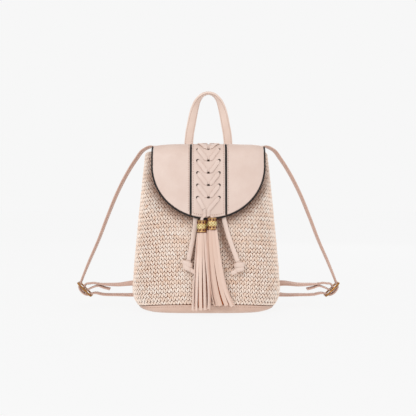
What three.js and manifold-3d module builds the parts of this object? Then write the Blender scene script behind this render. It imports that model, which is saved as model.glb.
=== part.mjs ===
// Woven straw backpack with a laced leather flap, in millimetres, +Z up.
// The origin is the middle of the flat underside, and -Y is the front.

import * as THREE from 'three';
import { mergeVertices } from 'three/addons/utils/BufferGeometryUtils.js';
import Module from 'manifold-3d';

const wasm = await Module();
wasm.setup();

// Fits
const gap = 0.3; // clearance between pieces that are sewn, threaded or laid together
const laceGap = 0.6; // room between the laces and the flap

// Straw body and its leather base
const bodyHeight = 259; // floor to the rim of the mouth
const bodyWidth = 241;
const bodyDepth = 116;
const cornerPower = 3.4; // plan outline: 2 is an ellipse, and higher is squarer
const mouthSetBack = 6; // the mouth's middle lies this far behind the base's
const strawWall = 2.4;
const seamFront = 14.4; // height of the base seam at the front and back
const seamSide = 8.5; // and at the two sides, where it dips
const channelDrop = 22; // depth of the drawstring channel below the rim
const channelRoom = 6; // clear width inside the channel
const channelWall = 1.4; // the inner leaf of the channel
const buttonholeWidth = 7;
const buttonholeHeight = 17;

// Flap
const flapWidth = 183;
const flapShift = 3.5; // the flap, handle, straps and laces sit this far right of the body's middle
const flapLeather = 2;
const crownRise = 11.5; // the flap's crown over the rim of the mouth
const flapFrontDrop = 121.5; // crown to the lowest point of the front
const flapBackDrop = 38; // crown to the sewn hem at the back
const flapStandoff = 6.5; // room between the body and the flap, for the drawstring
const frontFoldRadius = 26;
const backFoldRadius = 13;
const roundDrop = 86.5; // height of the flap's half-elliptical lower edge
const cornerDroop = 4; // how far the crown sinks at its two ends
const frontHug = 0.7; // share of the body's corner rounding that the front follows
const backHug = 0.85; // and the back
const seamSpread = 56; // distance between the two long seams
const pipingDiameter = 2.6;

// Lacing
const lacePitch = 19.7; // from row to row along the flap
const laceRows = 7;
const lastLaceRow = 35; // last row of side holes, above the flap's lowest point
const laceSpread = 34; // between the two columns of side holes
const laceWidth = 6;
const laceThickness = 1.2;
const laceHole = 5.2; // punched side hole, across
const laceSlot = 9.6; // punched centre hole, which takes both laces

// Tassels
const cuffDiameter = 15.4;
const cuffHeight = 18.4;
const cuffWall = 1.2;
const lockWidth = 5;
const lockThickness = 1.6;
const lockCount = 10;
const tassels = [
  { side: 'left', middle: -6.8, hang: -1.3, end: 7.8, flare: 17.4, drift: 1.9 },
  { side: 'right', middle: 9, hang: 2.9, end: 13.2, flare: 15.2, drift: 17.8 },
];

// Drawstring, with the hand-laid routes of its two free ends
const drawstringDiameter = 5;
const knotSize = 16.5;
const drawstringRoutes = {
  left: [
    [-22, -40.4, 239], [-22, -42.2, 233], [-21.8, -43.3, 226], [-21.4, -44.5, 216],
    [-20.9, -45.9, 204], [-20.4, -47.4, 191], [-19.6, -48.9, 178], [-18.3, -50.6, 164],
    [-17.2, -52.1, 150], [-18, -53.6, 137], [-20.2, -55.4, 122], [-23.3, -57.5, 106],
    [-26, -59.6, 93], [-27.6, -60.9, 85],
  ],
  right: [
    [28.5, -40.4, 239], [28.5, -42.2, 233], [28.4, -43.3, 226], [28.2, -44.5, 216],
    [27.9, -45.9, 204], [27.6, -47.4, 191], [27.3, -48.9, 178], [27.2, -50.6, 164],
    [28, -52.1, 150], [31, -53.6, 137], [35.6, -55.4, 121], [41.2, -57.5, 105],
    [46.2, -59.4, 92], [49.2, -60.6, 83],
  ],
};

// Carry handle
const handleWidth = 15;
const handleThickness = 5;
const handleSpan = 69; // between the middles of its two feet
const handleRise = 94.7; // from the flap's crown to the middle of the strap at its top

// Shoulder straps with their slides, rings and tabs
const strapWidth = 15;
const strapThickness = 3.2;
const strapCorner = 5.4; // a strap leaves the flap's corner this far out from its side
const strapLift = 2.4; // and this far over the crown
const strapReach = 91.9; // from the body's side out to the slide
const strapPlane = 4; // the straps hang this far in front of the widest back
const slideLift = 27.3; // floor to the middle of the slide
const slidePitch = 15.5; // middle bar to each end bar
const slideTilt = 45; // degrees from level
const wireDiameter = 3; // of the slides and the rings
const strapPlay = 2.5; // sideways room for a strap in its slide and ring
const ringSpread = 168; // between the bars that carry the two straps
const ringLift = 27;
const ringPitch = 12; // between the two long bars of a ring
const ringTilt = 55; // degrees from level, seen from the side
const ringStandoff = 12; // from the back of the body to the ring's bars
const tabWidth = 14;
const tabThickness = 2;
const tabLength = 34; // ring bar to the sewn end

// Plan sections of the body, from the floor to the rim, as shares of its height, width and depth
const bodySections = [
  { rise: 0, width: 0.8, depth: 0.8 },
  { rise: 0.012, width: 0.885, depth: 0.89 },
  { rise: 0.035, width: 0.94, depth: 0.945 },
  { rise: 0.062, width: 0.98, depth: 0.98 },
  { rise: 0.108, width: 1, depth: 1 },
  { rise: 0.21, width: 0.993, depth: 0.997 },
  { rise: 0.41, width: 0.96, depth: 0.96 },
  { rise: 0.62, width: 0.918, depth: 0.89 },
  { rise: 0.82, width: 0.876, depth: 0.805 },
  { rise: 1, width: 0.836, depth: 0.724 },
];

// Tassel sections below the cuff: how far each share of the drop has spread and drifted towards
// the values at its lower end
const tasselSections = [
  { drop: 0, spread: 0, drift: 0 },
  { drop: 0.5, spread: 0.48, drift: 0.33 },
  { drop: 1, spread: 1, drift: 1 },
];

// Half of the carry handle, foot to top: shares of the half span and of the rise, and its turn in
// degrees from lying across the bag
const handleSections = [
  { out: 1, up: -0.34, turn: 90 },
  { out: 1, up: -0.12, turn: 90 },
  { out: 0.983, up: 0.077, turn: 90 },
  { out: 0.925, up: 0.291, turn: 88 },
  { out: 0.849, up: 0.438, turn: 80 },
  { out: 0.774, up: 0.584, turn: 70 },
  { out: 0.675, up: 0.73, turn: 54 },
  { out: 0.513, up: 0.875, turn: 28 },
  { out: 0.275, up: 0.97, turn: 8 },
  { out: 0, up: 1, turn: 0 },
];

// A strap's outer arc: shares of the way out to the slide and of the height above it
const strapArc = [
  { out: 0, up: 1 },
  { out: 0.122, up: 0.974 },
  { out: 0.228, up: 0.904 },
  { out: 0.362, up: 0.791 },
  { out: 0.497, up: 0.65 },
  { out: 0.63, up: 0.48 },
  { out: 0.763, up: 0.297 },
  { out: 0.898, up: 0.134 },
];

const colours = {
  straw: { color: 0xd9c0ae, roughness: 0.85, metalness: 0 },
  leather: { color: 0xe9d3c6, roughness: 0.55, metalness: 0 },
  strapLeather: { color: 0xd2b3a2, roughness: 0.55, metalness: 0 },
  piping: { color: 0x2a1f1b, roughness: 0.45, metalness: 0 },
  gold: { color: 0xbc9b71, roughness: 0.3, metalness: 1 },
};

const object = new THREE.Group();

const point = (x, y, z) => new THREE.Vector3(x, y, z);
const radians = THREE.MathUtils.degToRad;

function addPiece(name, geometry, colour) {
  const mesh = new THREE.Mesh(geometry, new THREE.MeshStandardMaterial(colour));
  mesh.name = name;
  object.add(mesh);
}

// Evenly spaced values, both ends included.
function spaced(from, to, steps) {
  return Array.from({ length: steps + 1 }, (_, i) => from + ((to - from) * i) / steps);
}

// Reads one column of a section table at a place between its rows.
function column(table, key, name, at) {
  const upper = Math.max(1, table.findIndex((row, i) => i > 0 && row[key] >= at));
  const next = table[at > table.at(-1)[key] ? table.length - 1 : upper];
  const last = table[table.indexOf(next) - 1];
  const share = THREE.MathUtils.clamp((at - last[key]) / (next[key] - last[key]), 0, 1);
  return last[name] + (next[name] - last[name]) * share;
}

// Turns loose faces into one closed mesh whose faces point out.
function closedMesh(positions, faces) {
  let volume = 0;
  const corner = (i) => point(...positions.slice(3 * i, 3 * i + 3));
  for (let f = 0; f < faces.length; f += 3) {
    const [a, b, c] = [corner(faces[f]), corner(faces[f + 1]), corner(faces[f + 2])];
    volume += a.dot(b.cross(c));
  }
  const geometry = new THREE.BufferGeometry();
  geometry.setAttribute('position', new THREE.Float32BufferAttribute(positions, 3));
  geometry.setIndex(volume > 0 ? faces : faces.toReversed());
  return geometry;
}

// Skins a row of rings that have equal point counts. An open row gets a fan over each end, and a
// looped one joins its last ring to its first.
function skin(rings, looped = false) {
  const count = rings[0].length;
  const positions = rings.flat().flatMap((p) => p.toArray());
  const faces = [];
  const joins = looped ? rings.length : rings.length - 1;
  for (let r = 0; r < joins; r += 1) {
    const here = r * count;
    const there = ((r + 1) % rings.length) * count;
    for (let i = 0; i < count; i += 1) {
      const j = (i + 1) % count;
      faces.push(here + i, here + j, there + j, here + i, there + j, there + i);
    }
  }
  if (!looped) {
    const last = (rings.length - 1) * count;
    for (let i = 1; i < count - 1; i += 1) {
      faces.push(0, i + 1, i, last, last + i, last + i + 1);
    }
  }
  return closedMesh(positions, faces);
}

// A wall between two equal grids of points, with its four edges closed.
function wallBetween(outer, inner) {
  const rows = outer.length;
  const columns = outer[0].length;
  const positions = [...outer.flat(), ...inner.flat()].flatMap((p) => p.toArray());
  const faces = [];
  const quad = (a, b, c, d) => faces.push(a, b, c, a, c, d);
  const front = (r, c) => r * columns + c;
  const back = (r, c) => rows * columns + r * columns + c;
  for (let r = 0; r < rows - 1; r += 1) {
    for (let c = 0; c < columns - 1; c += 1) {
      quad(front(r, c), front(r, c + 1), front(r + 1, c + 1), front(r + 1, c));
      quad(back(r, c), back(r + 1, c), back(r + 1, c + 1), back(r, c + 1));
    }
    quad(front(r, 0), front(r + 1, 0), back(r + 1, 0), back(r, 0));
    quad(front(r + 1, columns - 1), front(r, columns - 1), back(r, columns - 1), back(r + 1, columns - 1));
  }
  for (let c = 0; c < columns - 1; c += 1) {
    quad(front(0, c + 1), front(0, c), back(0, c), back(0, c + 1));
    quad(front(rows - 1, c), front(rows - 1, c + 1), back(rows - 1, c + 1), back(rows - 1, c));
  }
  return closedMesh(positions, faces);
}

// Solids for joining and cutting, and back.
function solid(geometry) {
  const bare = geometry.clone();
  bare.deleteAttribute('normal');
  bare.deleteAttribute('uv');
  const merged = mergeVertices(bare, 1e-4);
  return new wasm.Manifold(new wasm.Mesh({
    numProp: 3,
    vertProperties: new Float32Array(merged.attributes.position.array),
    triVerts: new Uint32Array(merged.index.array),
  }));
}

function shapeOf(body) {
  const { vertProperties, triVerts } = body.getMesh();
  const geometry = new THREE.BufferGeometry();
  geometry.setAttribute('position', new THREE.BufferAttribute(vertProperties, 3));
  geometry.setIndex(new THREE.BufferAttribute(triVerts, 1));
  return geometry;
}

function fused(geometries) {
  return shapeOf(geometries.map(solid).reduce((whole, part) => whole.add(part)));
}

function without(geometry, cutters) {
  return shapeOf(cutters.map(solid).reduce((rest, cutter) => rest.subtract(cutter), solid(geometry)));
}

// A round cord or bead of piping along a smooth curve through the given points.
function cord(points, diameter, sides, steps) {
  const section = new THREE.Shape(spaced(0, 2 * Math.PI, sides).slice(0, -1).map(
    (turn) => new THREE.Vector2(Math.cos(turn), Math.sin(turn)).multiplyScalar(diameter / 2),
  ));
  return new THREE.ExtrudeGeometry(section, {
    steps,
    bevelEnabled: false,
    extrudePath: new THREE.CatmullRomCurve3(points, false, 'centripetal'),
  });
}

// A flat strip through stations. Each station gives its middle, the direction of its width, and
// its width and thickness there.
function strip(stations) {
  const rings = stations.map((station, i) => {
    const before = stations[Math.max(0, i - 1)].at;
    const after = stations[Math.min(stations.length - 1, i + 1)].at;
    const run = after.clone().sub(before).normalize();
    const thickness = run.clone().cross(station.across).normalize();
    const width = thickness.clone().cross(run).multiplyScalar(station.width / 2);
    thickness.multiplyScalar(station.thickness / 2);
    return [[1, 1], [-1, 1], [-1, -1], [1, -1]].map(([w, t]) => (
      station.at.clone().addScaledVector(width, w).addScaledVector(thickness, t)
    ));
  });
  return skin(rings);
}

// Stations for a strip of even size, along a smooth curve through hand-set or worked-out places.
// A long span between two places takes two steps, and a short one takes one.
function smoothStations(places, width, thickness) {
  const route = new THREE.CatmullRomCurve3(places.map((place) => place.at), false, 'centripetal');
  const last = places.length - 1;
  const stations = [];
  places.forEach((place, i) => {
    const next = places[Math.min(i + 1, last)];
    const long = place.at.distanceTo(next.at) > 2 * thickness;
    for (const share of long ? [0, 0.5] : [0]) {
      const across = place.across.clone().lerp(next.across, share).normalize();
      stations.push({ at: route.getPoint((i + share) / last), across, width, thickness });
    }
  });
  return stations;
}

// Body outline

// Half sizes and middle of the body's plan section at a height.
function bodySection(z) {
  const rise = z / bodyHeight;
  return {
    halfWidth: (bodyWidth / 2) * column(bodySections, 'rise', 'width', rise),
    halfDepth: (bodyDepth / 2) * column(bodySections, 'rise', 'depth', rise),
    middle: mouthSetBack * rise,
  };
}

// A point of the body's surface, or a wall's thickness inside it, at an angle from +X.
function bodyPoint(angle, z, inset = 0) {
  const { halfWidth, halfDepth, middle } = bodySection(z);
  const bend = (value) => Math.sign(value) * Math.abs(value) ** (2 / cornerPower);
  return point(
    (halfWidth - inset) * bend(Math.cos(angle)),
    middle + (halfDepth - inset) * bend(Math.sin(angle)),
    z,
  );
}

// How far the body's front or back has rounded away from its flat middle at a sideways place.
function cornerFall(x, z) {
  const { halfWidth, halfDepth } = bodySection(z);
  const share = Math.min(Math.abs(x) / halfWidth, 1);
  return halfDepth * (1 - (1 - share ** cornerPower) ** (1 / cornerPower));
}

function bodyBack(x, z) {
  const { halfDepth, middle } = bodySection(z);
  return middle + halfDepth - cornerFall(x, z);
}

function bodyFront(z) {
  const { halfDepth, middle } = bodySection(z);
  return middle - halfDepth;
}

const bodySides = 40;
const bodyAngles = spaced(0, 2 * Math.PI, bodySides).slice(0, -1);
const seamHeight = (angle) => seamFront - (seamFront - seamSide) * Math.cos(angle) ** 2;

// A ring of the body between the base seam and the rim, at a share of that height.
function bodyRing(share, inset) {
  return bodyAngles.map((angle) => {
    const seam = seamHeight(angle) + gap;
    return bodyPoint(angle, seam + (bodyHeight - seam) * share, inset);
  });
}

// The straw wall goes up its outer face, folds in over the rim, goes down the channel's inner leaf
// and back up inside the channel, and then down its own inner face.
function strawBody() {
  const fold = strawWall + channelRoom + channelWall;
  const ringAt = (drop, inset) => bodyAngles.map((a) => bodyPoint(a, bodyHeight - drop, inset));
  const outside = [0, ...bodySections.map((row) => row.rise).filter((rise) => rise > 0.1)].slice(0, -1);
  const inside = outside.filter((share, i) => i % 2 === 0);
  const wall = skin([
    ...outside.map((share) => bodyRing(share, 0)),
    ringAt(fold / 4, 0),
    ringAt(0, fold / 4),
    ringAt(0, fold * 0.75),
    ringAt(fold / 4, fold),
    ringAt(channelDrop, fold),
    ringAt(channelDrop, fold - channelWall),
    ringAt(channelWall * 2, fold - channelWall),
    ringAt(channelWall * 2, strawWall),
    ...inside.toReversed().map((share) => bodyRing(share, strawWall)),
  ], true);
  const holes = Object.values(drawstringRoutes).map(([[x, y, z]]) => {
    const hole = new THREE.BoxGeometry(buttonholeWidth, 4 * strawWall, buttonholeHeight);
    return hole.translate(x, bodyFront(z), z + buttonholeHeight / 8);
  });
  return without(wall, holes);
}

// A shallow bowl with a flat floor, whose rim meets the straw at the dipping seam.
function basePanel() {
  const rows = [1, 0.62, 0.3, 0.1];
  const outside = rows.map((share) => bodyAngles.map((a) => bodyPoint(a, seamHeight(a) * share)));
  const inside = rows.slice(0, 2).map((share) => bodyAngles.map((a) => (
    bodyPoint(a, Math.max(seamHeight(a) * share, strawWall), strawWall)
  )));
  const underside = bodyAngles.map((a) => bodyPoint(a, 0));
  const floor = bodyAngles.map((a) => bodyPoint(a, 0).setZ(strawWall));
  return skin([floor, ...inside.toReversed(), ...outside, underside]);
}

// Flap

const flapCrown = bodyHeight + crownRise;
const flapHalf = flapWidth / 2;
const leatherHalf = flapHalf - pipingDiameter - gap;
const backHemHeight = flapCrown - flapBackDrop;
const backFoldHeight = flapCrown - backFoldRadius;
const frontFoldHeight = flapCrown - frontFoldRadius;
const flapTipHeight = flapCrown - flapFrontDrop;
const backFace = (z) => bodyBack(0, z) + gap + (flapLeather + pipingDiameter) / 2;
const frontFace = bodyFront(frontFoldHeight) - flapStandoff - flapLeather;
const frontSlope = Math.atan(
  (bodyFront(frontFoldHeight) - bodyFront(flapTipHeight)) / (frontFoldHeight - flapTipHeight),
);

// Outer face of the flap's middle, from the back hem over the crown to the front's lowest point.
// The path's x is the depth and its y the height.
const frontBend = new THREE.Vector2(frontFace + frontFoldRadius, frontFoldHeight);
const frontStart = frontBend.clone().add(
  new THREE.Vector2(-Math.cos(frontSlope), Math.sin(frontSlope)).multiplyScalar(frontFoldRadius),
);
const frontLength = (frontStart.y - flapTipHeight) / Math.cos(frontSlope);
const flapPath = new THREE.Path();
flapPath.moveTo(backFace(backHemHeight), backHemHeight);
flapPath.lineTo(backFace(backFoldHeight), backFoldHeight);
flapPath.absarc(
  backFace(backFoldHeight) - backFoldRadius, backFoldHeight, backFoldRadius, 0, Math.PI / 2, false,
);
flapPath.absarc(
  frontBend.x, frontBend.y, frontFoldRadius, Math.PI / 2, Math.PI - frontSlope, false,
);
flapPath.lineTo(
  frontStart.x - frontLength * Math.sin(frontSlope), frontStart.y - frontLength * Math.cos(frontSlope),
);
const flapLength = flapPath.getLength();
const [backLine, backArc, topLine, frontArc] = flapPath.getCurveLengths();
const roundStart = flapLength - roundDrop;

// A point of the flap: x from its middle, along from the back hem, and lift out of its outer face.
function flapPoint(x, along, lift) {
  const share = THREE.MathUtils.clamp(along / flapLength, 0, 1);
  const spot = flapPath.getPoint(share);
  const run = flapPath.getTangent(share);
  const past = along - share * flapLength;
  const outY = run.y;
  const outZ = -run.x;
  const fall = cornerFall(x + flapShift, Math.min(spot.y, bodyHeight));
  const hug = fall * (outY > 0 ? backHug : frontHug);
  return point(
    x + flapShift,
    spot.x + run.x * past + outY * (lift - hug),
    spot.y + run.y * past + outZ * (lift - cornerDroop * Math.abs(x / flapHalf) ** 3),
  );
}

// Where the outline that is inset from the flap's edge ends at a sideways place.
function flapEnd(x, inset) {
  const share = Math.min(Math.abs(x) / (flapHalf - inset), 1);
  return roundStart + (roundDrop - inset) * Math.sqrt(1 - share ** 2);
}

const flapRows = [
  0,
  ...spaced(backLine, backArc, 4),
  ...spaced(backArc, topLine, 2).slice(1),
  ...spaced(topLine, frontArc, 5).slice(1),
];
const lowerRows = spaced(0, 1, 5);

function flapPanel(columns) {
  const grid = (lift) => {
    const upper = flapRows.map((along) => columns.map((x) => flapPoint(x, along, lift)));
    const lower = lowerRows.slice(1).map((share) => columns.map((x) => {
      const end = flapEnd(x, pipingDiameter + gap);
      return flapPoint(x, frontArc + (end - frontArc) * share, lift);
    }));
    return [...upper, ...lower];
  };
  return wallBetween(grid(0), grid(-flapLeather));
}

const seamHalf = seamSpread / 2;
const panelEdge = seamHalf + pipingDiameter / 2 + gap;
const panelTurn = Math.asin(panelEdge / leatherHalf);
const nearlySide = radians(86);
const sideColumns = spaced(nearlySide, panelTurn, 5).map((turn) => leatherHalf * Math.sin(turn));
const centreHalf = seamHalf - pipingDiameter / 2 - gap;

// Corners of a punched hole, as shares of its half sizes.
const sideHoleCorners = [[1, 0], [0.5, 0.87], [-0.5, 0.87], [-1, 0], [-0.5, -0.87], [0.5, -0.87]];
const centreHoleCorners = [
  [1, 0.4], [0.72, 1], [-0.72, 1], [-1, 0.4], [-1, -0.4], [-0.72, -1], [0.72, -1], [1, -0.4],
];

// A punched hole: a plug through the leather.
function punch(x, along, halfWide, halfTall, corners) {
  const ring = (lift) => corners.map(([u, v]) => (
    flapPoint(x + halfWide * u, along + halfTall * v, lift)
  ));
  return skin([ring(-2 * flapLeather), ring(flapLeather)]);
}

const rowAlong = (row) => flapLength - lastLaceRow - (laceRows - 1 - row) * lacePitch;

function flapCentre() {
  const punches = [];
  for (let row = 0; row < laceRows; row += 1) {
    for (const side of [-1, 1]) {
      const middle = (side * laceSpread) / 2;
      punches.push(punch(middle, rowAlong(row), laceHole / 2, laceHole / 2, sideHoleCorners));
    }
    if (row > 0) {
      punches.push(punch(0, rowAlong(row), laceSlot / 2, laceHole / 2, centreHoleCorners));
    }
  }
  return without(flapPanel(spaced(-centreHalf, centreHalf, 2)), punches);
}

// Piping round the flap's whole edge, from one end of the back hem to the other.
function edgePiping() {
  const middle = pipingDiameter / 2;
  const side = flapHalf - middle;
  const rows = [...flapRows, roundStart];
  const down = rows.map((along) => flapPoint(-side, along, -flapLeather / 2));
  const round = spaced(-90, 90, 20).slice(1, -1).map((turn) => {
    const x = side * Math.sin(radians(turn));
    return flapPoint(x, flapEnd(x, middle), -flapLeather / 2);
  });
  const up = rows.toReversed().map((along) => flapPoint(side, along, -flapLeather / 2));
  return cord([...down, ...round, ...up], pipingDiameter, 5, 54);
}

function seamPiping(side) {
  const x = side * seamHalf;
  const end = flapEnd(x, pipingDiameter * 1.5 + gap);
  const rows = [...flapRows, ...spaced(frontArc, end, 4).slice(1)];
  return cord(rows.map((along) => flapPoint(x, along, -flapLeather / 2)), pipingDiameter, 5, 24);
}

// Tassels and their cuffs

const cuffRadius = cuffDiameter / 2;
const headRadius = cuffRadius - cuffWall - gap;
const tasselDepth = frontStart.x - frontLength * Math.sin(frontSlope) - cuffRadius - laceThickness;
const tasselTop = (tassel) => flapTipHeight + tassel.hang;

// A shallow waist between two rolled ends.
function cuff(tassel) {
  const bead = cuffWall / 2;
  const half = cuffHeight / 2;
  const profile = [
    [cuffRadius - cuffWall, -half], [cuffRadius, -half], [cuffRadius - bead, -half + bead * 4],
    [cuffRadius - bead, half - bead * 4], [cuffRadius, half], [cuffRadius - cuffWall, half],
    [cuffRadius - cuffWall, -half],
  ];
  const ring = new THREE.LatheGeometry(profile.map(([r, z]) => new THREE.Vector2(r, z)), 12);
  ring.rotateX(Math.PI / 2);
  return ring.translate(tassel.middle, tasselDepth, tasselTop(tassel) - half);
}

// One cut strip of a tassel, which hangs from inside the head and spreads with its sections.
function lock(tassel, turn, index) {
  const length = tasselTop(tassel) - cuffHeight - tassel.end;
  const start = headRadius - lockThickness;
  const away = (spread, flare) => start + (flare - lockWidth / 2 - start) * spread;
  const deep = cuffRadius - lockThickness / 2;
  const shorter = 1 - 0.025 * (1 + Math.sin(index * 2.4));
  const inHead = { drop: (lockThickness - cuffHeight) / length, spread: 0, drift: 0 };
  const rings = [inHead, ...tasselSections].map((row) => {
    const wide = away(row.spread, tassel.flare) * Math.cos(turn);
    const back = (start + (deep - start) * Math.min(1, 3 * row.spread)) * Math.sin(turn);
    const middle = point(
      tassel.middle + tassel.drift * row.drift + wide,
      tasselDepth + back,
      tasselTop(tassel) - cuffHeight - length * row.drop * shorter,
    );
    const along = point(-Math.sin(turn), 0.6 * Math.cos(turn), 0).normalize();
    const through = point(-along.y, along.x, 0).multiplyScalar(lockThickness / 2);
    along.multiplyScalar((lockWidth / 2) * (0.75 + 0.25 * row.spread));
    return [[1, 1], [-1, 1], [-1, -1], [1, -1]].map(([w, t]) => (
      middle.clone().addScaledVector(along, w).addScaledVector(through, t)
    ));
  });
  return skin(rings);
}

function tasselBody(tassel) {
  const head = new THREE.CylinderGeometry(headRadius, headRadius, cuffHeight - gap, 12);
  head.rotateX(Math.PI / 2);
  head.translate(tassel.middle, tasselDepth, tasselTop(tassel) - (cuffHeight - gap) / 2);
  const locks = Array.from({ length: lockCount }, (_, i) => (
    lock(tassel, ((i + 0.5) / lockCount) * 2 * Math.PI, i)
  ));
  return fused([head, ...locks]);
}

// A lace: out through a side hole, down across the front to the next centre hole, and back
// behind the leather to the side. It ends over the flap's lower edge, in a tassel's head.
function lace(side, tassel) {
  const over = laceGap + laceThickness / 2;
  const under = -flapLeather - laceGap - laceThickness / 2;
  const edge = (side * laceSpread) / 2;
  const centre = (side * laceSlot) / 4;
  const pinch = { width: laceWidth * 0.5, thickness: laceThickness * 1.2 };
  const full = { width: laceWidth, thickness: laceThickness };
  const shallow = laceHole * 0.17;
  const clear = laceHole * 0.68;
  const place = (spot, lift, lean, size) => {
    const at = flapPoint(spot.x, spot.y, lift);
    const beside = flapPoint(spot.x + lean.x, spot.y + lean.y, lift);
    return { at, across: beside.sub(at).normalize(), ...size };
  };
  const level = new THREE.Vector2(0, 1);
  const sideHole = (row) => new THREE.Vector2(edge, rowAlong(row));
  const centreHole = (row) => new THREE.Vector2(centre, rowAlong(row));
  const meeting = new THREE.Vector2(-3 + side * 3.4, flapLength - 15);
  const stations = [place(sideHole(0).add(point(-side * laceWidth, 0, 0)), under, level, full)];
  for (let row = 0; row < laceRows; row += 1) {
    const last = row === laceRows - 1;
    const from = sideHole(row);
    const to = last ? meeting : centreHole(row + 1);
    const run = to.clone().sub(from).normalize();
    const across = new THREE.Vector2(run.y, -run.x).multiplyScalar(side);
    const bent = across.clone().add(level).normalize();
    const step = (base, direction, length) => base.clone().addScaledVector(direction, length);
    const inward = new THREE.Vector2(-side, 0);
    stations.push(place(step(from, inward, shallow), under, bent, pinch));
    stations.push(place(step(from, run, shallow), over, bent, pinch));
    stations.push(place(step(from, run, clear), over, across, full));
    stations.push(place(from.clone().lerp(to, 0.35), over, across, full));
    stations.push(place(from.clone().lerp(to, 0.65), over, across, full));
    stations.push(place(step(to, run, -clear), over, across, full));
    if (last) {
      break;
    }
    const outward = new THREE.Vector2(side, 0);
    stations.push(place(step(to, run, -shallow), over, bent, pinch));
    stations.push(place(step(to, outward, shallow), under, bent, pinch));
    stations.push(place(step(to, outward, clear), under, level, full));
    stations.push(place(step(sideHole(row + 1), inward, clear), under, level, full));
  }
  const down = { across: point(1, 0, 0), width: laceWidth * 0.75, thickness: laceThickness };
  const overEdge = flapPoint(meeting.x, flapLength - 5, over + gap);
  const top = tasselTop(tassel) + gap;
  stations.push({ ...down, at: flapPoint(meeting.x, meeting.y, over) });
  stations.push({ ...down, at: overEdge });
  stations.push({ ...down, at: point(tassel.middle, tasselDepth + 1, Math.max(top + 2, overEdge.z - 5)) });
  stations.push({ ...down, at: point(tassel.middle, tasselDepth, top) });
  return strip(stations);
}

// Drawstring

const routePoints = (side) => drawstringRoutes[side].map((place) => point(...place));

function drawstringEnd(side) {
  return cord(routePoints(side), drawstringDiameter, 8, 14);
}

// The held part runs round the channel and meets the two free ends at the buttonholes.
function drawstringHeld() {
  const inset = strawWall + channelRoom / 2;
  const height = bodyHeight - channelDrop * 0.45;
  const reach = radians(11);
  const around = spaced(-Math.PI / 2 + reach, (3 * Math.PI) / 2 - reach, 34).map(
    (angle) => bodyPoint(angle, height, inset),
  );
  const meet = (side) => {
    const [exit, next] = routePoints(side);
    const back = exit.clone().sub(next).normalize();
    return [
      exit.clone().addScaledVector(back, gap),
      exit.clone().addScaledVector(back, 3),
      point(exit.x, bodyFront(height) + inset + gap, exit.z + buttonholeHeight / 2),
    ];
  };
  const route = [...meet('right'), ...around, ...meet('left').toReversed()];
  return cord(route, drawstringDiameter, 6, 42);
}

// An overhand knot as two crossed turns and the cord's short tail.
function knot(side) {
  const [before, end] = routePoints(side).slice(-2);
  const run = end.clone().sub(before).normalize();
  const radius = drawstringDiameter / 2;
  const ring = (knotSize - drawstringDiameter) / 2;
  const middle = end.clone().addScaledVector(run, ring + radius + gap);
  const lean = side === 'left' ? 1 : -1;
  const turn = (tilt, size) => {
    const loop = new THREE.TorusGeometry(size, radius, 5, 8);
    loop.scale(1, 1, 1.1);
    loop.rotateX(radians(tilt));
    loop.rotateY(radians(lean * 24));
    return loop.translate(middle.x, middle.y, middle.z);
  };
  const tail = cord([
    middle.clone(),
    middle.clone().add(point(lean * 4, -1, -5)),
    middle.clone().add(point(lean * 9.5, -1.5, -8.5)),
  ], drawstringDiameter * 0.9, 6, 2);
  const entry = cord([middle, end.clone().addScaledVector(run, gap)], drawstringDiameter, 6, 1);
  return fused([turn(62, ring * 0.86), turn(-58, ring), tail, entry]);
}

// Carry handle

function handle() {
  const half = handleSpan / 2;
  const foot = backFace(backHemHeight) + gap + handleThickness / 2;
  const place = ({ out, up, turn }, side) => ({
    at: point(flapShift + side * half * out, foot, flapCrown + handleRise * up),
    turn,
  });
  const rows = [
    ...handleSections.map((row) => place(row, -1)),
    ...handleSections.slice(0, -1).toReversed().map((row) => place(row, 1)),
  ];
  const places = rows.map(({ at, turn }, i) => {
    const run = rows[Math.min(i + 1, rows.length - 1)].at.clone().sub(rows[Math.max(i - 1, 0)].at);
    const sideways = point(0, 1, 0).cross(run).normalize();
    const angle = radians(turn);
    const across = point(0, Math.cos(angle), 0).addScaledVector(sideways, Math.sin(angle));
    return { at, across };
  });
  return strip(smoothStations(places, handleWidth, handleThickness));
}

// Shoulder straps. Their places are worked out for the left one and mirrored for the right.

const strapY = bodyDepth / 2 - strapPlane;
const slideX = bodyWidth / 2 + strapReach;
const foldRadius = wireDiameter / 2 + gap + strapThickness / 2;
const slotCross = slidePitch - foldRadius;
const passUnder = foldRadius + strapThickness + gap;
const ringTurn = radians(ringTilt);
const ringAcross = point(0, Math.cos(ringTurn), Math.sin(ringTurn));
const ringOver = point(0, -Math.sin(ringTurn), Math.cos(ringTurn));
const ringBar = point(-ringSpread / 2, bodyBack(ringSpread / 2, ringLift) + ringStandoff, ringLift);
const tabBar = ringBar.clone().add(point(ringPitch, 0, 0));

// A place in the slide's own frame: p along it towards the body and down, q out of it and up.
function slidePlace(p, q, deep = 0) {
  const tilt = radians(slideTilt);
  return point(
    -slideX + p * Math.cos(tilt) + q * Math.sin(tilt),
    strapY + deep,
    slideLift - p * Math.sin(tilt) + q * Math.cos(tilt),
  );
}

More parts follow.
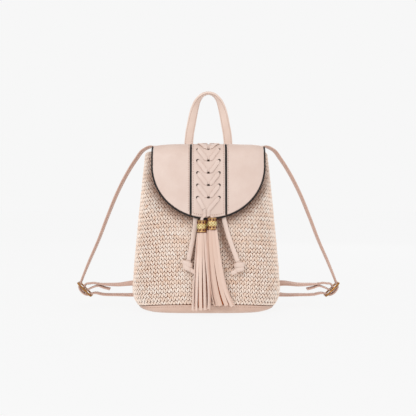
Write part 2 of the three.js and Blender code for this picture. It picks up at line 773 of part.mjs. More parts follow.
function strapPlaces() {
  const level = point(0, 1, 0);
  const leaning = (degrees) => point(0, Math.cos(radians(degrees)), Math.sin(radians(degrees)));
  const skewed = (degrees) => point(Math.sin(radians(degrees)), Math.cos(radians(degrees)), 0);
  const flat = point(0.5, -0.05, 0.86);
  const corner = point(-flapHalf - strapCorner, strapY, flapCrown + strapLift);
  const arcEnd = slidePlace(-slidePitch * 0.98, slidePitch * 0.44);
  const sewnY = (x, z) => (
    backFace(z) - backHug * cornerFall(Math.abs(x) - flapShift, z) + 2 * gap + strapThickness / 2
  );
  const sewn = [[-46, -29], [-58, -21.5]].map(([x, drop]) => ({
    at: point(x, sewnY(x, flapCrown + drop), flapCrown + drop), across: flat.clone(),
  }));
  const lifting = [
    { at: point(-70, strapY + 3.5, flapCrown - 12), across: point(0.45, 0.5, 0.74) },
    { at: point(-83, strapY + 3, flapCrown - 3), across: point(0.3, 0.85, 0.4) },
  ];
  const arc = strapArc.map(({ out, up }, i) => ({
    at: point(
      corner.x + (arcEnd.x - corner.x) * out, strapY, arcEnd.z + (corner.z - arcEnd.z) * up,
    ),
    across: skewed(20 - 2 * i),
  }));
  const under = spaced(0, 180, 6).map((turn) => ({
    at: slidePlace(-slotCross * Math.cos(radians(turn)), -passUnder * Math.sin(radians(turn))),
    across: level.clone(),
  }));
  const stitchX = -slideX + 22.9;
  const upperZ = slideLift + 9.2;
  const lower = [
    { at: slidePlace(slidePitch + 0.5, 6.8), across: leaning(2) },
    { at: point(stitchX + 7.5, strapY, slideLift - 8.9), across: leaning(5) },
    { at: point(stitchX + 34, strapY + 1, slideLift - 9.8), across: leaning(8) },
    { at: point(ringBar.x - 44, strapY + 4, slideLift - 10.1), across: leaning(14) },
    { at: point(ringBar.x - 17, ringBar.y - 1, ringLift - 6.5), across: leaning(38) },
  ];
  const around = spaced(-90, 90, 4).map((turn) => ({
    at: ringBar.clone()
      .addScaledVector(point(1, 0, 0), foldRadius * Math.cos(radians(turn)))
      .addScaledVector(ringOver, foldRadius * Math.sin(radians(turn))),
    across: ringAcross.clone(),
  }));
  const upper = [
    { at: point(ringBar.x - 17, ringBar.y - 6.5, ringLift + 6.6), across: leaning(44) },
    { at: point(ringBar.x - 44, strapY + 2, upperZ + 0.9), across: leaning(28) },
    { at: point(stitchX + 34, strapY, upperZ - 1.3), across: leaning(14) },
    { at: point(stitchX + 14, strapY, upperZ - 0.9), across: leaning(7) },
    { at: point(stitchX, strapY, upperZ), across: level.clone() },
    { at: point(stitchX - 9, strapY, upperZ + 1.4), across: level.clone() },
    { at: slidePlace(-1.4, 12.6), across: level.clone() },
    { at: slidePlace(-5, 8), across: level.clone() },
  ];
  const fold = spaced(0, 180, 4).map((turn) => ({
    at: slidePlace(-foldRadius * Math.cos(radians(turn)), -foldRadius * Math.sin(radians(turn))),
    across: level.clone(),
  }));
  const tail = [
    { at: slidePlace(foldRadius + 1.2, 5), across: level.clone() },
    { at: point(stitchX - 9, strapY, upperZ - strapThickness - 2.4), across: level.clone() },
    { at: point(stitchX, strapY, upperZ - strapThickness - gap), across: level.clone() },
    { at: point(stitchX + 9, strapY, upperZ - strapThickness - 3), across: leaning(4) },
    { at: point(stitchX + 20, strapY, upperZ - 9), across: leaning(6) },
  ];
  return [...sewn, ...lifting, ...arc, ...under, ...lower, ...around, ...upper, ...fold, ...tail];
}

const leftStrap = strapPlaces();

// Moves a left-hand place to its side of the flap's middle.
const sided = (side) => ({ at, across }) => ({
  at: point(flapShift + (side === 'left' ? at.x : -at.x), at.y, at.z),
  across: point(side === 'left' ? across.x : -across.x, across.y, across.z),
});

function shoulderStrap(side) {
  return strip(smoothStations(leftStrap.map(sided(side)), strapWidth, strapThickness));
}

// A closed wire with rounded corners, whose inner size is given along two directions.
function wireLoop(middle, longWay, shortWay, halfLong, halfShort) {
  const bend = wireDiameter * 0.8;
  const normal = longWay.clone().cross(shortWay).normalize();
  const corners = [[1, 1, 0], [-1, 1, 90], [-1, -1, 180], [1, -1, 270]];
  const rings = corners.flatMap(([l, s, start]) => spaced(start, start + 90, 2).map((turn) => {
    const angle = radians(turn);
    const out = longWay.clone().multiplyScalar(Math.cos(angle))
      .addScaledVector(shortWay, Math.sin(angle));
    const at = middle.clone()
      .addScaledVector(longWay, l * (halfLong - bend))
      .addScaledVector(shortWay, s * (halfShort - bend))
      .addScaledVector(out, bend);
    return spaced(0, 2 * Math.PI, 6).slice(0, -1).map((around) => at.clone()
      .addScaledVector(out, (wireDiameter / 2) * Math.cos(around))
      .addScaledVector(normal, (wireDiameter / 2) * Math.sin(around)));
  }));
  return skin(rings, true);
}

const mirrorX = (geometry, side) => {
  if (side === 'right') {
    geometry.scale(-1, 1, 1);
    geometry.setIndex([...geometry.index.array].toReversed());
  }
  return geometry.translate(flapShift, 0, 0);
};

// A slide: a rectangular wire frame with a bar across its middle.
function strapSlide(side) {
  const halfBar = (strapWidth + strapPlay + wireDiameter) / 2;
  const middle = slidePlace(0, 0);
  const along = slidePlace(1, 0).sub(middle);
  const frame = wireLoop(middle, along, point(0, 1, 0), slidePitch, halfBar);
  const bar = new THREE.CylinderGeometry(wireDiameter / 2, wireDiameter / 2, 2 * halfBar, 8);
  bar.translate(middle.x, middle.y, middle.z);
  return mirrorX(fused([frame, bar]), side);
}

function strapRing(side) {
  const middle = ringBar.clone().add(tabBar).multiplyScalar(0.5);
  const halfBar = (strapWidth + strapPlay + wireDiameter) / 2;
  const ring = wireLoop(middle, point(1, 0, 0), ringAcross, ringPitch / 2, halfBar);
  return mirrorX(ring, side);
}

// A tab: sewn flat on the body's back, out round the ring's inner bar, and back over itself.
function ringTab(side) {
  const upright = point(0, 0, 1);
  const turn = wireDiameter / 2 + 1.5 * gap + tabThickness / 2;
  const leafY = (x, leaf) => (
    bodyBack(x, ringLift + tabWidth / 2) + gap + tabThickness / 2 + leaf * (tabThickness + gap)
  );
  const leafPlaces = (leaf) => [tabLength, tabLength * 0.6].map((back) => ({
    at: point(tabBar.x + back, leafY(tabBar.x + back, leaf), ringLift), across: upright.clone(),
  }));
  const around = spaced(90, -90, 4).map((angle) => ({
    at: tabBar.clone()
      .addScaledVector(point(1, 0, 0), -turn * Math.cos(radians(angle)))
      .addScaledVector(ringOver, turn * Math.sin(radians(angle))),
    across: ringAcross.clone(),
  }));
  const places = [...leafPlaces(0), ...around, ...leafPlaces(1).toReversed()];
  return strip(smoothStations(places.map(sided(side)), tabWidth, tabThickness));
}

// The whole bag

addPiece('straw_body', strawBody(), colours.straw);
addPiece('base_panel', basePanel(), colours.leather);
addPiece('flap_left_panel', flapPanel(sideColumns.map((x) => -x)), colours.leather);
addPiece('flap_centre_panel', flapCentre(), colours.leather);
addPiece('flap_right_panel', flapPanel(sideColumns.toReversed()), colours.leather);
addPiece('piping_edge', edgePiping(), colours.piping);
addPiece('piping_left_seam', seamPiping(-1), colours.piping);
addPiece('piping_right_seam', seamPiping(1), colours.piping);
for (const tassel of tassels) {
  addPiece(`lace_${tassel.side}`, lace(tassel.side === 'left' ? -1 : 1, tassel), colours.leather);
  addPiece(`cuff_${tassel.side}`, cuff(tassel), colours.gold);
  addPiece(`tassel_${tassel.side}`, tasselBody(tassel), colours.leather);
}
addPiece('drawstring', drawstringHeld(), colours.strapLeather);
addPiece('top_handle', handle(), colours.leather);
for (const side of ['left', 'right']) {
  addPiece(`drawstring_end_${side}`, drawstringEnd(side), colours.strapLeather);
  addPiece(`knot_${side}`, knot(side), colours.strapLeather);
  addPiece(`shoulder_strap_${side}`, shoulderStrap(side), colours.strapLeather);
  addPiece(`strap_slide_${side}`, strapSlide(side), colours.gold);
  addPiece(`strap_ring_${side}`, strapRing(side), colours.gold);
  addPiece(`ring_tab_${side}`, ringTab(side), colours.strapLeather);
}

export default object;
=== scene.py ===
"""Woven straw backpack with a laced leather flap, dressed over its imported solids. Metres, +Z up, -Y front."""

import math

import bpy
import numpy as np
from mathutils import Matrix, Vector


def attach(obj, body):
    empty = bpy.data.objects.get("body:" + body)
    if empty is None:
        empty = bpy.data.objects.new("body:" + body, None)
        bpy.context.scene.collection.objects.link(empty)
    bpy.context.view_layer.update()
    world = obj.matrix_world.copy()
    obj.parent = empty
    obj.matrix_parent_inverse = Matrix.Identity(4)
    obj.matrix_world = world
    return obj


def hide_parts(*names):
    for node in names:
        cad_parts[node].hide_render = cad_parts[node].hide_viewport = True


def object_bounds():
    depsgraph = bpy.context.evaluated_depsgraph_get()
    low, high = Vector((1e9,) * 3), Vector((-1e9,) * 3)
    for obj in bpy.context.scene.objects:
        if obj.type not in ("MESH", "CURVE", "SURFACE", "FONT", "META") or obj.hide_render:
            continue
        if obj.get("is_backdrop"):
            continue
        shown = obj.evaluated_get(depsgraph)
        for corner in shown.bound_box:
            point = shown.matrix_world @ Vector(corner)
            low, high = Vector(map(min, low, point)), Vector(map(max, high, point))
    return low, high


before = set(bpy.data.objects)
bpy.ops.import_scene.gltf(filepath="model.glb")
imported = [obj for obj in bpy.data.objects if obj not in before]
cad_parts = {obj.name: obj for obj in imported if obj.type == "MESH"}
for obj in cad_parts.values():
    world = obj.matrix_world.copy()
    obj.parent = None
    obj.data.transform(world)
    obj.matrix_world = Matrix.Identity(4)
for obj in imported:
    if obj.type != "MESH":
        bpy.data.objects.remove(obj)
cad_bounds = [list(corner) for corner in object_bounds()]
chance = np.random.default_rng(11)
RIGHT, BACK, UP = np.eye(3)

# Fits and stitches
GAP = 0.0003  # between pieces that are sewn, threaded or laid together
LACE_GAP = 0.0006
STITCH_LENGTH = 0.0021
STITCH_PROUD = 0.0003

# Straw body and its leather base
BODY_HEIGHT = 0.259
BODY_WIDTH = 0.241
BODY_DEPTH = 0.116
CORNER_POWER = 3.4  # plan outline: 2 is an ellipse, and higher is squarer
MOUTH_SET_BACK = 0.006
STRAW_WALL = 0.0024
SEAM_FRONT = 0.0144  # height of the base seam at the front
SEAM_SIDE = 0.0085  # and at the two sides, where it dips
CHANNEL_DROP = 0.022
CHANNEL_ROOM = 0.006
CHANNEL_WALL = 0.0014
RIM_RADIUS = (STRAW_WALL + CHANNEL_ROOM + CHANNEL_WALL) / 2
SECTION_RISE = [0, 0.012, 0.035, 0.062, 0.108, 0.21, 0.41, 0.62, 0.82, 1]
SECTION_WIDTH = [0.765, 0.852, 0.914, 0.962, 0.996, 0.993, 0.96, 0.918, 0.876, 0.836]
SECTION_DEPTH = [0.8, 0.89, 0.945, 0.98, 1, 0.997, 0.96, 0.89, 0.805, 0.724]

# Stitches of the straw
STITCHES_AROUND = 106
ROW_PITCH = 0.0064
STRAW_ROWS = 42
STRAND_WIDTH = 0.0027
STRAND_THICKNESS = 0.0011
STRAND_DEPTH = 0.0009  # the strands' middle, below the wall's outer face
STITCH_REACH = 0.46  # rise and fall of a loop, as a share of the row pitch
ROWS_A_PIECE = 14  # looped rows in one piece, which keeps it well under 200,000 triangles

# Shadows of the photograph that are drawn in the straw's colour: bell curves this dark and this wide
FLAP_SHADOW = 0.78
FLAP_SHADOW_WIDTH = 0.135  # as a share of the flap's half width and of its round end
TASSEL_SHADOW = 0.74
TASSEL_SHADOW_WIDTH = 0.007
TASSEL_SHADOW_INWARD = 0.009  # its middle, from the cord's
TASSEL_SHADOW_FOOT = 0.081  # the height where it has half faded
TASSEL_SHADOW_SOFTNESS = 0.005
SHADOW_FADE = 0.035  # both are whole this far in front of the body's middle, and none behind it

# Flap
FLAP_HALF = 0.183 / 2
FLAP_SHIFT = 0.0035  # the flap, handle, straps and laces sit this far right of the body's middle
LEATHER = 0.002
CROWN = BODY_HEIGHT + 0.0115
FRONT_DROP = 0.1215
BACK_DROP = 0.038
STANDOFF = 0.0065
FRONT_FOLD = 0.026
BACK_FOLD = 0.013
ROUND_DROP = 0.0865
CORNER_DROOP = 0.004
FRONT_HUG = 0.7
BACK_HUG = 0.85
SEAM_HALF = 0.056 / 2
PIPING = 0.0026
EDGE_RADIUS = 0.0009  # of the leather's cut edges
PEBBLE = 0.0011  # width of a pebble of the leather's grain
PAINTED_CROWN_SHADE = 0.24  # painted shade: the crown's fold is drawn this much browner, as a bell curve
PAINTED_CROWN_SHADE_WIDTH = 0.016
PAINTED_CROWN_SHADE_BACK = 0.03  # its middle, back from where the front fold ends

# Lacing
LACE_PITCH = 0.0197
LACE_ROWS = 7
LAST_LACE_ROW = 0.035
LACE_SPREAD = 0.034
LACE_WIDTH = 0.006
LACE_THICKNESS = 0.0012
LACE_HOLE = 0.0052
LACE_SLOT = 0.0096
PUNCH = 0.005  # the leather closes round a lace, so its holes are drawn a little smaller
PUNCHED_SLOT = (0.008, 0.0033)

# Tassels. Each hangs this far over the flap's tip, at this place across, down to the height of its end. Its
# strips spread to a half width, the flare, and drift sideways. The tone after the drift darkens them all as
# painted shade, and beside is the way to the other tassel, whose facing strips get more painted shade
CUFF_RADIUS = 0.0154 / 2
CUFF_HEIGHT = 0.0184
CUFF_WIRES = 9  # each way
CUFF_BEADS = 8  # in each of two rows
STRIPS = 12
INNER_STRIPS = 8
STRIP_WIDTH = 0.0061
INNER_STRIP_WIDTH = 0.0062
STRIP_THICKNESS = 0.0013
TASSELS = {
    "left": {
        "middle": -0.0068, "hang": -0.0013, "end": 0.0078, "flare": 0.0174, "drift": 0.0019,
        "shade_tone": 0.0, "beside": 1,
    },
    "right": {
        "middle": 0.009, "hang": 0.0029, "end": 0.0132, "flare": 0.0152, "drift": 0.0178,
        "shade_tone": 0.85, "beside": -1,
    },
}

# Drawstring
CORD = 0.005  # as wide all round as the folded strap, whose section is this wide and thick:
CORD_SECTION = (0.0074, 0.0035)
KNOT = 0.0165
CORD_ROUTES = {
    "left": [
        (-0.022, -0.0404, 0.239), (-0.022, -0.0422, 0.233), (-0.0218, -0.0433, 0.226),
        (-0.0214, -0.0445, 0.216), (-0.0209, -0.0459, 0.204), (-0.0204, -0.0474, 0.191),
        (-0.0196, -0.0489, 0.178), (-0.0183, -0.0506, 0.164), (-0.0172, -0.0521, 0.15),
        (-0.018, -0.0536, 0.137), (-0.0202, -0.0554, 0.122), (-0.0233, -0.0575, 0.106),
        (-0.026, -0.0596, 0.093), (-0.0276, -0.0609, 0.085),
    ],
    "right": [
        (0.0285, -0.0404, 0.239), (0.0285, -0.0422, 0.233), (0.0284, -0.0433, 0.226),
        (0.0282, -0.0445, 0.216), (0.0279, -0.0459, 0.204), (0.0276, -0.0474, 0.191),
        (0.0273, -0.0489, 0.178), (0.0272, -0.0506, 0.164), (0.028, -0.0521, 0.15),
        (0.031, -0.0536, 0.137), (0.0356, -0.0554, 0.121), (0.0412, -0.0575, 0.105),
        (0.0462, -0.0594, 0.092), (0.0492, -0.0606, 0.083),
    ],
}

# Carry handle
HANDLE_WIDTH = 0.015
HANDLE_THICKNESS = 0.005
HANDLE_SPAN = 0.069
HANDLE_RISE = 0.0947
HANDLE_SECTIONS = [
    (1, -0.34, 90), (1, -0.12, 90), (0.983, 0.077, 90), (0.925, 0.291, 88), (0.849, 0.438, 80),
    (0.774, 0.584, 70), (0.675, 0.73, 54), (0.513, 0.875, 28), (0.275, 0.97, 8), (0, 1, 0),
]

# Shoulder straps with their slides, rings and tabs
STRAP_WIDTH = 0.015
STRAP = 0.0032
STRAP_CORNER = 0.0054
STRAP_LIFT = 0.0024
STRAP_REACH = 0.0919
STRAP_Y = BODY_DEPTH / 2 - 0.004
SLIDE_LIFT = 0.0273
SLIDE_PITCH = 0.0155
SLIDE_TILT = math.radians(45)
WIRE = 0.003
STRAP_PLAY = 0.0025
RING_SPREAD = 0.168
RING_LIFT = 0.027
RING_PITCH = 0.012
RING_TILT = math.radians(55)
RING_STANDOFF = 0.012
TAB_WIDTH = 0.014
TAB = 0.002
TAB_LENGTH = 0.034
STRAP_ARC = [
    (0, 1), (0.122, 0.974), (0.228, 0.904), (0.362, 0.791), (0.497, 0.65),
    (0.63, 0.48), (0.763, 0.297), (0.898, 0.134),
]

# The photograph's camera: level, this far in front of the bag's middle plane
CAMERA_AT = (0.0028, -1.2, 0.167)
VIEW_WIDTH = 0.6864  # seen across the frame at that plane


# Curves and grids


def unit(vectors):
    """Vectors scaled to length 1."""
    return vectors / np.maximum(np.linalg.norm(vectors, axis=-1, keepdims=True), 1e-12)


def smooth_read(x, xs, ys):
    """Value at x of a cubic through (xs, ys), whose slope at each point is the mean of its two sides'."""
    xs = np.asarray(xs, float)
    ys = np.asarray(ys, float)
    slopes = np.gradient(ys, xs)
    i = np.clip(np.searchsorted(xs, x, side="right") - 1, 0, len(xs) - 2)
    span = xs[i + 1] - xs[i]
    t = np.clip((x - xs[i]) / span, 0, 1)
    return (
        (2 * t**3 - 3 * t**2 + 1) * ys[i]
        + (t**3 - 2 * t**2 + t) * span * slopes[i]
        + (3 * t**2 - 2 * t**3) * ys[i + 1]
        + (t**3 - t**2) * span * slopes[i + 1]
    )


def route(places, count, columns=3):
    """Evenly spaced points on the smooth curve through the places. The first columns of a place are its
    point, and the rest are values that are read along with it."""
    places = np.array(places, float)
    steps = np.linalg.norm(np.diff(places[:, :columns], axis=0), axis=1)
    reach = np.concatenate([[0], np.cumsum(np.maximum(steps, 1e-6))])
    fine = np.linspace(0, reach[-1], 30 * len(places))
    read = np.stack([smooth_read(fine, reach, column) for column in places.T], axis=1)
    travelled = distance_along(read[:, :columns])
    even = np.linspace(0, travelled[-1], count)
    return np.stack([np.interp(even, travelled, column) for column in read.T], axis=1)


def distance_along(points):
    """Distance of each point along its path."""
    return np.concatenate([[0], np.cumsum(np.linalg.norm(np.diff(points, axis=0), axis=1))])


def bell(x, middle, width):
    """A bell curve, exp(-((x - middle) / width)^2): 1 at its middle."""
    return np.exp(-(((x - middle) / width) ** 2))


def bent(value, power=CORNER_POWER):
    """A cosine or sine bent to a superellipse of that power, which is the body's plan unless it is given."""
    return np.sign(value) * np.abs(value) ** (2 / power)


def tangents(points, looped=False):
    """Direction of a path at each point: from the point before it to the one after."""
    if looped:
        return unit(np.roll(points, -1, axis=-2) - np.roll(points, 1, axis=-2))
    return unit(np.gradient(points, axis=0))


def grid_faces(rows, columns, loop_rows=False, loop_columns=False):
    """Quads between neighbouring places of a grid, whose places are counted row by row."""
    r, c = np.meshgrid(
        np.arange(rows if loop_rows else rows - 1),
        np.arange(columns if loop_columns else columns - 1),
        indexing="ij",
    )
    here, below = r * columns, ((r + 1) % rows) * columns
    beside = (c + 1) % columns
    return np.stack([here + c, here + beside, below + beside, below + c], axis=-1).reshape(-1, 4)


def tubes(count, rows, sides, looped=False, start=0):
    """Quads and end caps of equal tubes whose points follow one another, each of rows with that many sides.
    Looped tubes are closed on themselves and have no caps. start is the number of the first point."""
    first = start + np.arange(count)[:, None] * rows * sides
    quads = (grid_faces(rows, sides, looped, True)[None] + first[..., None]).reshape(-1, 4)
    last = (rows - 1) * sides
    caps = np.concatenate([np.arange(sides - 1, -1, -1) + first, np.arange(last, last + sides) + first])
    return quads, [] if looped else caps.tolist()


def turned(radii, heights, count):
    """Rings round an upright axis, one for each radius and height."""
    turn = np.arange(count) * 2 * math.pi / count
    x, y = radii[:, None] * np.cos(turn), radii[:, None] * np.sin(turn)
    return np.stack(np.broadcast_arrays(x, y, heights[:, None]), axis=-1)


def enclosed(points, quads):
    """Six times the volume that the quads enclose, positive where they face out."""
    a, b, c, d = (points[quads[:, k]] for k in range(4))
    return float(np.sum(a * np.cross(b, c)) + np.sum(a * np.cross(c, d)))


def new_piece(name, points, quads, caps=(), values=None, crease=40):
    """A mesh object from an array of points, quads and end caps. values maps an attribute's name to one
    number or one vector a point, and crease is the angle over which an edge stays sharp."""
    points = points.reshape(-1, 3)
    caps = [list(cap) for cap in caps]
    if enclosed(points, quads) < 0:
        quads = quads[:, ::-1]
        caps = [cap[::-1] for cap in caps]
    mesh = bpy.data.meshes.new(name)
    mesh.from_pydata(points.tolist(), [], quads.tolist() + caps)
    for key, value in (values or {}).items():
        value = np.asarray(value, float)
        kind = "FLOAT" if value.ndim == 1 else "FLOAT_VECTOR"
        field = "value" if value.ndim == 1 else "vector"
        mesh.attributes.new(key, kind, "POINT").data.foreach_set(field, value.ravel())
    mesh.polygons.foreach_set("use_smooth", [True] * len(mesh.polygons))
    mesh.set_sharp_from_angle(angle=math.radians(crease))
    piece = bpy.data.objects.new(name, mesh)
    bpy.context.scene.collection.objects.link(piece)
    return piece


def finish_piece(piece, material, slot, *nodes):
    """Gives a piece its material and lets it ride on the bag in place of those nodes. slot is not used."""
    piece.data.materials.append(material)
    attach(piece, "root")
    if nodes:
        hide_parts(*nodes)
    return piece


def carried(points, across, width, thickness, sides=16, power=4.0, looped=False, groove=0.0):
    """Rings of a superellipse section, x = w/2 cos^(2/p), y = t/2 sin^(2/p), carried along a path with its
    width along across, and for each point its way along, across and through the strap. A groove sinks two
    lines beside the section's edges, as a turned and sewn edge has."""
    run = tangents(points, looped)
    out = unit(np.cross(run, across))
    wide = np.cross(out, run)
    turn = (np.arange(sides) + 0.5) * 2 * math.pi / sides
    u = bent(np.cos(turn), power)
    v = bent(np.sin(turn), power) * (1 - groove * bell(np.abs(u), 0.72, 0.09))
    half_width = np.broadcast_to(np.asarray(width, float) / 2, (len(points),))[:, None, None]
    half_thick = np.broadcast_to(np.asarray(thickness, float) / 2, (len(points),))[:, None, None]
    rings = (
        points[:, None, :]
        + wide[:, None, :] * u[None, :, None] * half_width
        + out[:, None, :] * v[None, :, None] * half_thick
    )
    along = distance_along(points)
    weave = np.zeros((len(points), sides, 3))
    weave[..., 0] = along[:, None]
    weave[..., 1] = u[None, :] * half_width[:, :, 0]
    weave[..., 2] = v[None, :] * half_thick[:, :, 0]
    return rings, weave.reshape(-1, 3)


def strap_piece(name, points, across, width, thickness, **section):
    """A closed strap, lace or wire: a section carried along a path, with a flat cap at each open end."""
    rings, weave = carried(points, across, width, thickness, **section)
    return new_piece(name, rings, *tubes(1, *rings.shape[:2], section.get("looped", False)), {"run": weave})


def ripple(u, v, size, seed):
    """Smooth unevenness from -1 to 1: the mean of five sine waves of about that size, each its own way."""
    chosen = np.random.default_rng(seed)
    turn = chosen.uniform(0, math.pi, 5)
    reach = size * chosen.uniform(0.7, 1.6, 5)
    start = chosen.uniform(0, 2 * math.pi, 5)
    waves = [
        np.sin((u * math.cos(t) + v * math.sin(t)) * 2 * math.pi / r + s)
        for t, r, s in zip(turn, reach, start)
    ]
    return np.mean(waves, axis=0)


def threads(name, centres, run, out, length, width, proud):
    """Sewn threads: short six-sided beads, whose section swells from 0.4 at the ends to 1 between them, and
    whose ends dip into what they are sewn through."""
    along = np.array([-1, -0.55, 0.55, 1])
    swell = np.array([0.4, 1, 1, 0.4])[:, None]
    dip = np.array([-0.9, 0, 0, -0.9])[:, None]
    turn = np.arange(6)[None] * math.pi / 3
    high = dip * proud + np.sin(turn) * swell * proud
    wide = np.cos(turn) * swell * width / 2
    run, out = np.broadcast_to(run, centres.shape), np.broadcast_to(out, centres.shape)
    spots = (
        centres[:, None, None, :]
        + run[:, None, None, :] * (along * length / 2)[None, :, None, None]
        + out[:, None, None, :] * high[None, :, :, None]
        + np.cross(run, out)[:, None, None, :] * wide[None, :, :, None]
    )
    return new_piece(name, spots, *tubes(len(centres), 4, 6), crease=60)


def sewn_line(path, out, pitch, inset):
    """Centres, directions and outward sides of stitches set a pitch apart along a path."""
    reach = distance_along(path)
    places = np.arange(inset + pitch / 2, reach[-1] - inset, pitch)
    centres, run, sides = (
        np.stack([np.interp(places, reach, column) for column in values.T], axis=1)
        for values in (path, tangents(path), out)
    )
    return centres, unit(run), unit(sides)


def sew(name, lines, pitch, width, inset=0.0):
    """Stitches of a width set a pitch apart along lines, each a path and the outward side at its points."""
    parts = [sewn_line(path, out, pitch, inset) for path, out in lines]
    rows = (np.concatenate([part[k] for part in parts]) for k in range(3))
    finish_piece(threads(name, *rows, STITCH_LENGTH, width, STITCH_PROUD), THREAD, "leather")


# Outline of the body


def body_section(z):
    """Half width, half depth and middle of the body's plan section at a height."""
    rise = z / BODY_HEIGHT
    half_width = BODY_WIDTH / 2 * smooth_read(rise, SECTION_RISE, SECTION_WIDTH)
    half_depth = BODY_DEPTH / 2 * smooth_read(rise, SECTION_RISE, SECTION_DEPTH)
    return half_width, half_depth, MOUTH_SET_BACK * rise


def even_angles(shares):
    """Angles at equal steps of the body's girth, from a fine walk round its section at half height."""
    fine = np.linspace(0, 2 * math.pi, 20001)
    half_width, half_depth, _ = body_section(BODY_HEIGHT / 2)
    walk = np.stack([half_width * bent(np.cos(fine)), half_depth * bent(np.sin(fine))], axis=1)
    girth = distance_along(walk)
    return np.interp(shares % 1 * girth[-1], girth, fine)


def body_point(angle, z, inset=0.0):
    """Superellipse x = a cos^(2/n), y = b sin^(2/n) about the section's middle, at a height and inset."""
    half_width, half_depth, middle = body_section(z)
    x = (half_width - inset) * bent(np.cos(angle))
    y = middle + (half_depth - inset) * bent(np.sin(angle))
    return np.stack(np.broadcast_arrays(x, y, z), axis=-1)


def seam_height(angle):
    """The base seam dips from the front and back to the two sides."""
    return SEAM_FRONT - (SEAM_FRONT - SEAM_SIDE) * np.cos(angle) ** 2


def wall_point(angle, up, depth):
    """A place of the straw wall, which climbs from the seam, rolls in over the rim on a half circle and
    goes down the channel's inner leaf. up is the way along it, and depth how far it lies below the face."""
    seam = seam_height(angle) + GAP
    straight = BODY_HEIGHT - RIM_RADIUS - seam
    turn = np.clip((up - straight) / RIM_RADIUS, 0, math.pi)
    down = np.maximum(up - straight - math.pi * RIM_RADIUS, 0)
    z = seam + np.minimum(up, straight) + (RIM_RADIUS - depth) * np.sin(turn) - down
    inset = RIM_RADIUS - (RIM_RADIUS - depth) * np.cos(turn)
    points = body_point(angle, np.clip(z, 0, BODY_HEIGHT), inset)
    points[..., 2] = z
    return points


def corner_fall(x, z):
    """How far the body's front or back has rounded away from its flat middle at a sideways place."""
    half_width, half_depth, _ = body_section(z)
    share = np.minimum(np.abs(x) / half_width, 1)
    return half_depth * (1 - (1 - share**CORNER_POWER) ** (1 / CORNER_POWER))


def body_front(z):
    """Depth of the body's flat front at a height."""
    _, half_depth, middle = body_section(z)
    return middle - half_depth


def body_back(x, z):
    """Depth of the body's back at a sideways place and height."""
    _, half_depth, middle = body_section(z)
    return middle + half_depth - corner_fall(x, z)


# Outline of the flap


def back_face(z):
    """Depth of the flap's outer face down the back."""
    return body_back(0.0, z) + GAP + (LEATHER + PIPING) / 2


BACK_HEM_Z = CROWN - BACK_DROP
BACK_FOLD_Z = CROWN - BACK_FOLD
FRONT_FOLD_Z = CROWN - FRONT_FOLD
TIP_Z = CROWN - FRONT_DROP
FRONT_SLOPE = math.atan((body_front(FRONT_FOLD_Z) - body_front(TIP_Z)) / (FRONT_FOLD_Z - TIP_Z))
BACK_CENTRE = (back_face(BACK_FOLD_Z) - BACK_FOLD, BACK_FOLD_Z)
FRONT_CENTRE = (body_front(FRONT_FOLD_Z) - STANDOFF - LEATHER + FRONT_FOLD, FRONT_FOLD_Z)
FRONT_TURN = math.pi / 2 - FRONT_SLOPE
FRONT_START = (
    FRONT_CENTRE[0] - FRONT_FOLD * math.cos(FRONT_SLOPE), FRONT_CENTRE[1] + FRONT_FOLD * math.sin(FRONT_SLOPE)
)
FRONT_LENGTH = (FRONT_START[1] - TIP_Z) / math.cos(FRONT_SLOPE)
BACK_LINE = math.hypot(back_face(BACK_FOLD_Z) - back_face(BACK_HEM_Z), BACK_FOLD_Z - BACK_HEM_Z)
BACK_ARC = BACK_LINE + BACK_FOLD * math.pi / 2
TOP_LINE = BACK_ARC + BACK_CENTRE[0] - FRONT_CENTRE[0]
FRONT_ARC = TOP_LINE + FRONT_FOLD * FRONT_TURN
FLAP_LENGTH = FRONT_ARC + FRONT_LENGTH
ROUND_START = FLAP_LENGTH - ROUND_DROP
TASSEL_Y = FRONT_START[0] - FRONT_LENGTH * math.sin(FRONT_SLOPE) - CUFF_RADIUS - LACE_THICKNESS


def flap_line(along):
    """Place and outward direction of the flap's middle line: up the back, a quarter circle, across the
    crown, a second arc and straight down the front. Each is (depth, height)."""
    up = np.clip(along / BACK_LINE, 0, 1)
    start_y, end_y = back_face(BACK_HEM_Z), back_face(BACK_FOLD_Z)
    first = np.clip((along - BACK_LINE) / BACK_FOLD, 0, math.pi / 2)
    second = np.clip((along - TOP_LINE) / FRONT_FOLD, 0, FRONT_TURN)
    down = along - FRONT_ARC
    stretches = [along < end for end in (BACK_LINE, BACK_ARC, TOP_LINE, FRONT_ARC)]
    y = np.select(
        stretches,
        [
            start_y + (end_y - start_y) * up,
            BACK_CENTRE[0] + BACK_FOLD * np.cos(first),
            BACK_CENTRE[0] - (along - BACK_ARC),
            FRONT_CENTRE[0] - FRONT_FOLD * np.sin(second),
        ],
        FRONT_START[0] - down * math.sin(FRONT_SLOPE),
    )
    z = np.select(
        stretches,
        [
            BACK_HEM_Z + along * (BACK_FOLD_Z - BACK_HEM_Z) / BACK_LINE,
            BACK_CENTRE[1] + BACK_FOLD * np.sin(first),
            CROWN + 0 * along,
            FRONT_CENTRE[1] + FRONT_FOLD * np.cos(second),
        ],
        FRONT_START[1] - down * math.cos(FRONT_SLOPE),
    )
    tilt = first + second
    return y, z, np.cos(tilt), np.sin(tilt)


def flap_point(x, along, lift):
    """A place of the flap: sideways from its middle, along from the back hem, and lift out of its face. It
    follows the body's rounding corners and droops at the crown's two ends."""
    y, z, out_y, out_z = flap_line(along)
    fall = corner_fall(x + FLAP_SHIFT, np.minimum(z, BODY_HEIGHT))
    hug = fall * np.where(out_y > 0, BACK_HUG, FRONT_HUG)
    droop = CORNER_DROOP * np.abs(x / FLAP_HALF) ** 6
    return np.stack(
        np.broadcast_arrays(x + FLAP_SHIFT, y + out_y * (lift - hug), z + out_z * (lift - droop)), axis=-1
    )


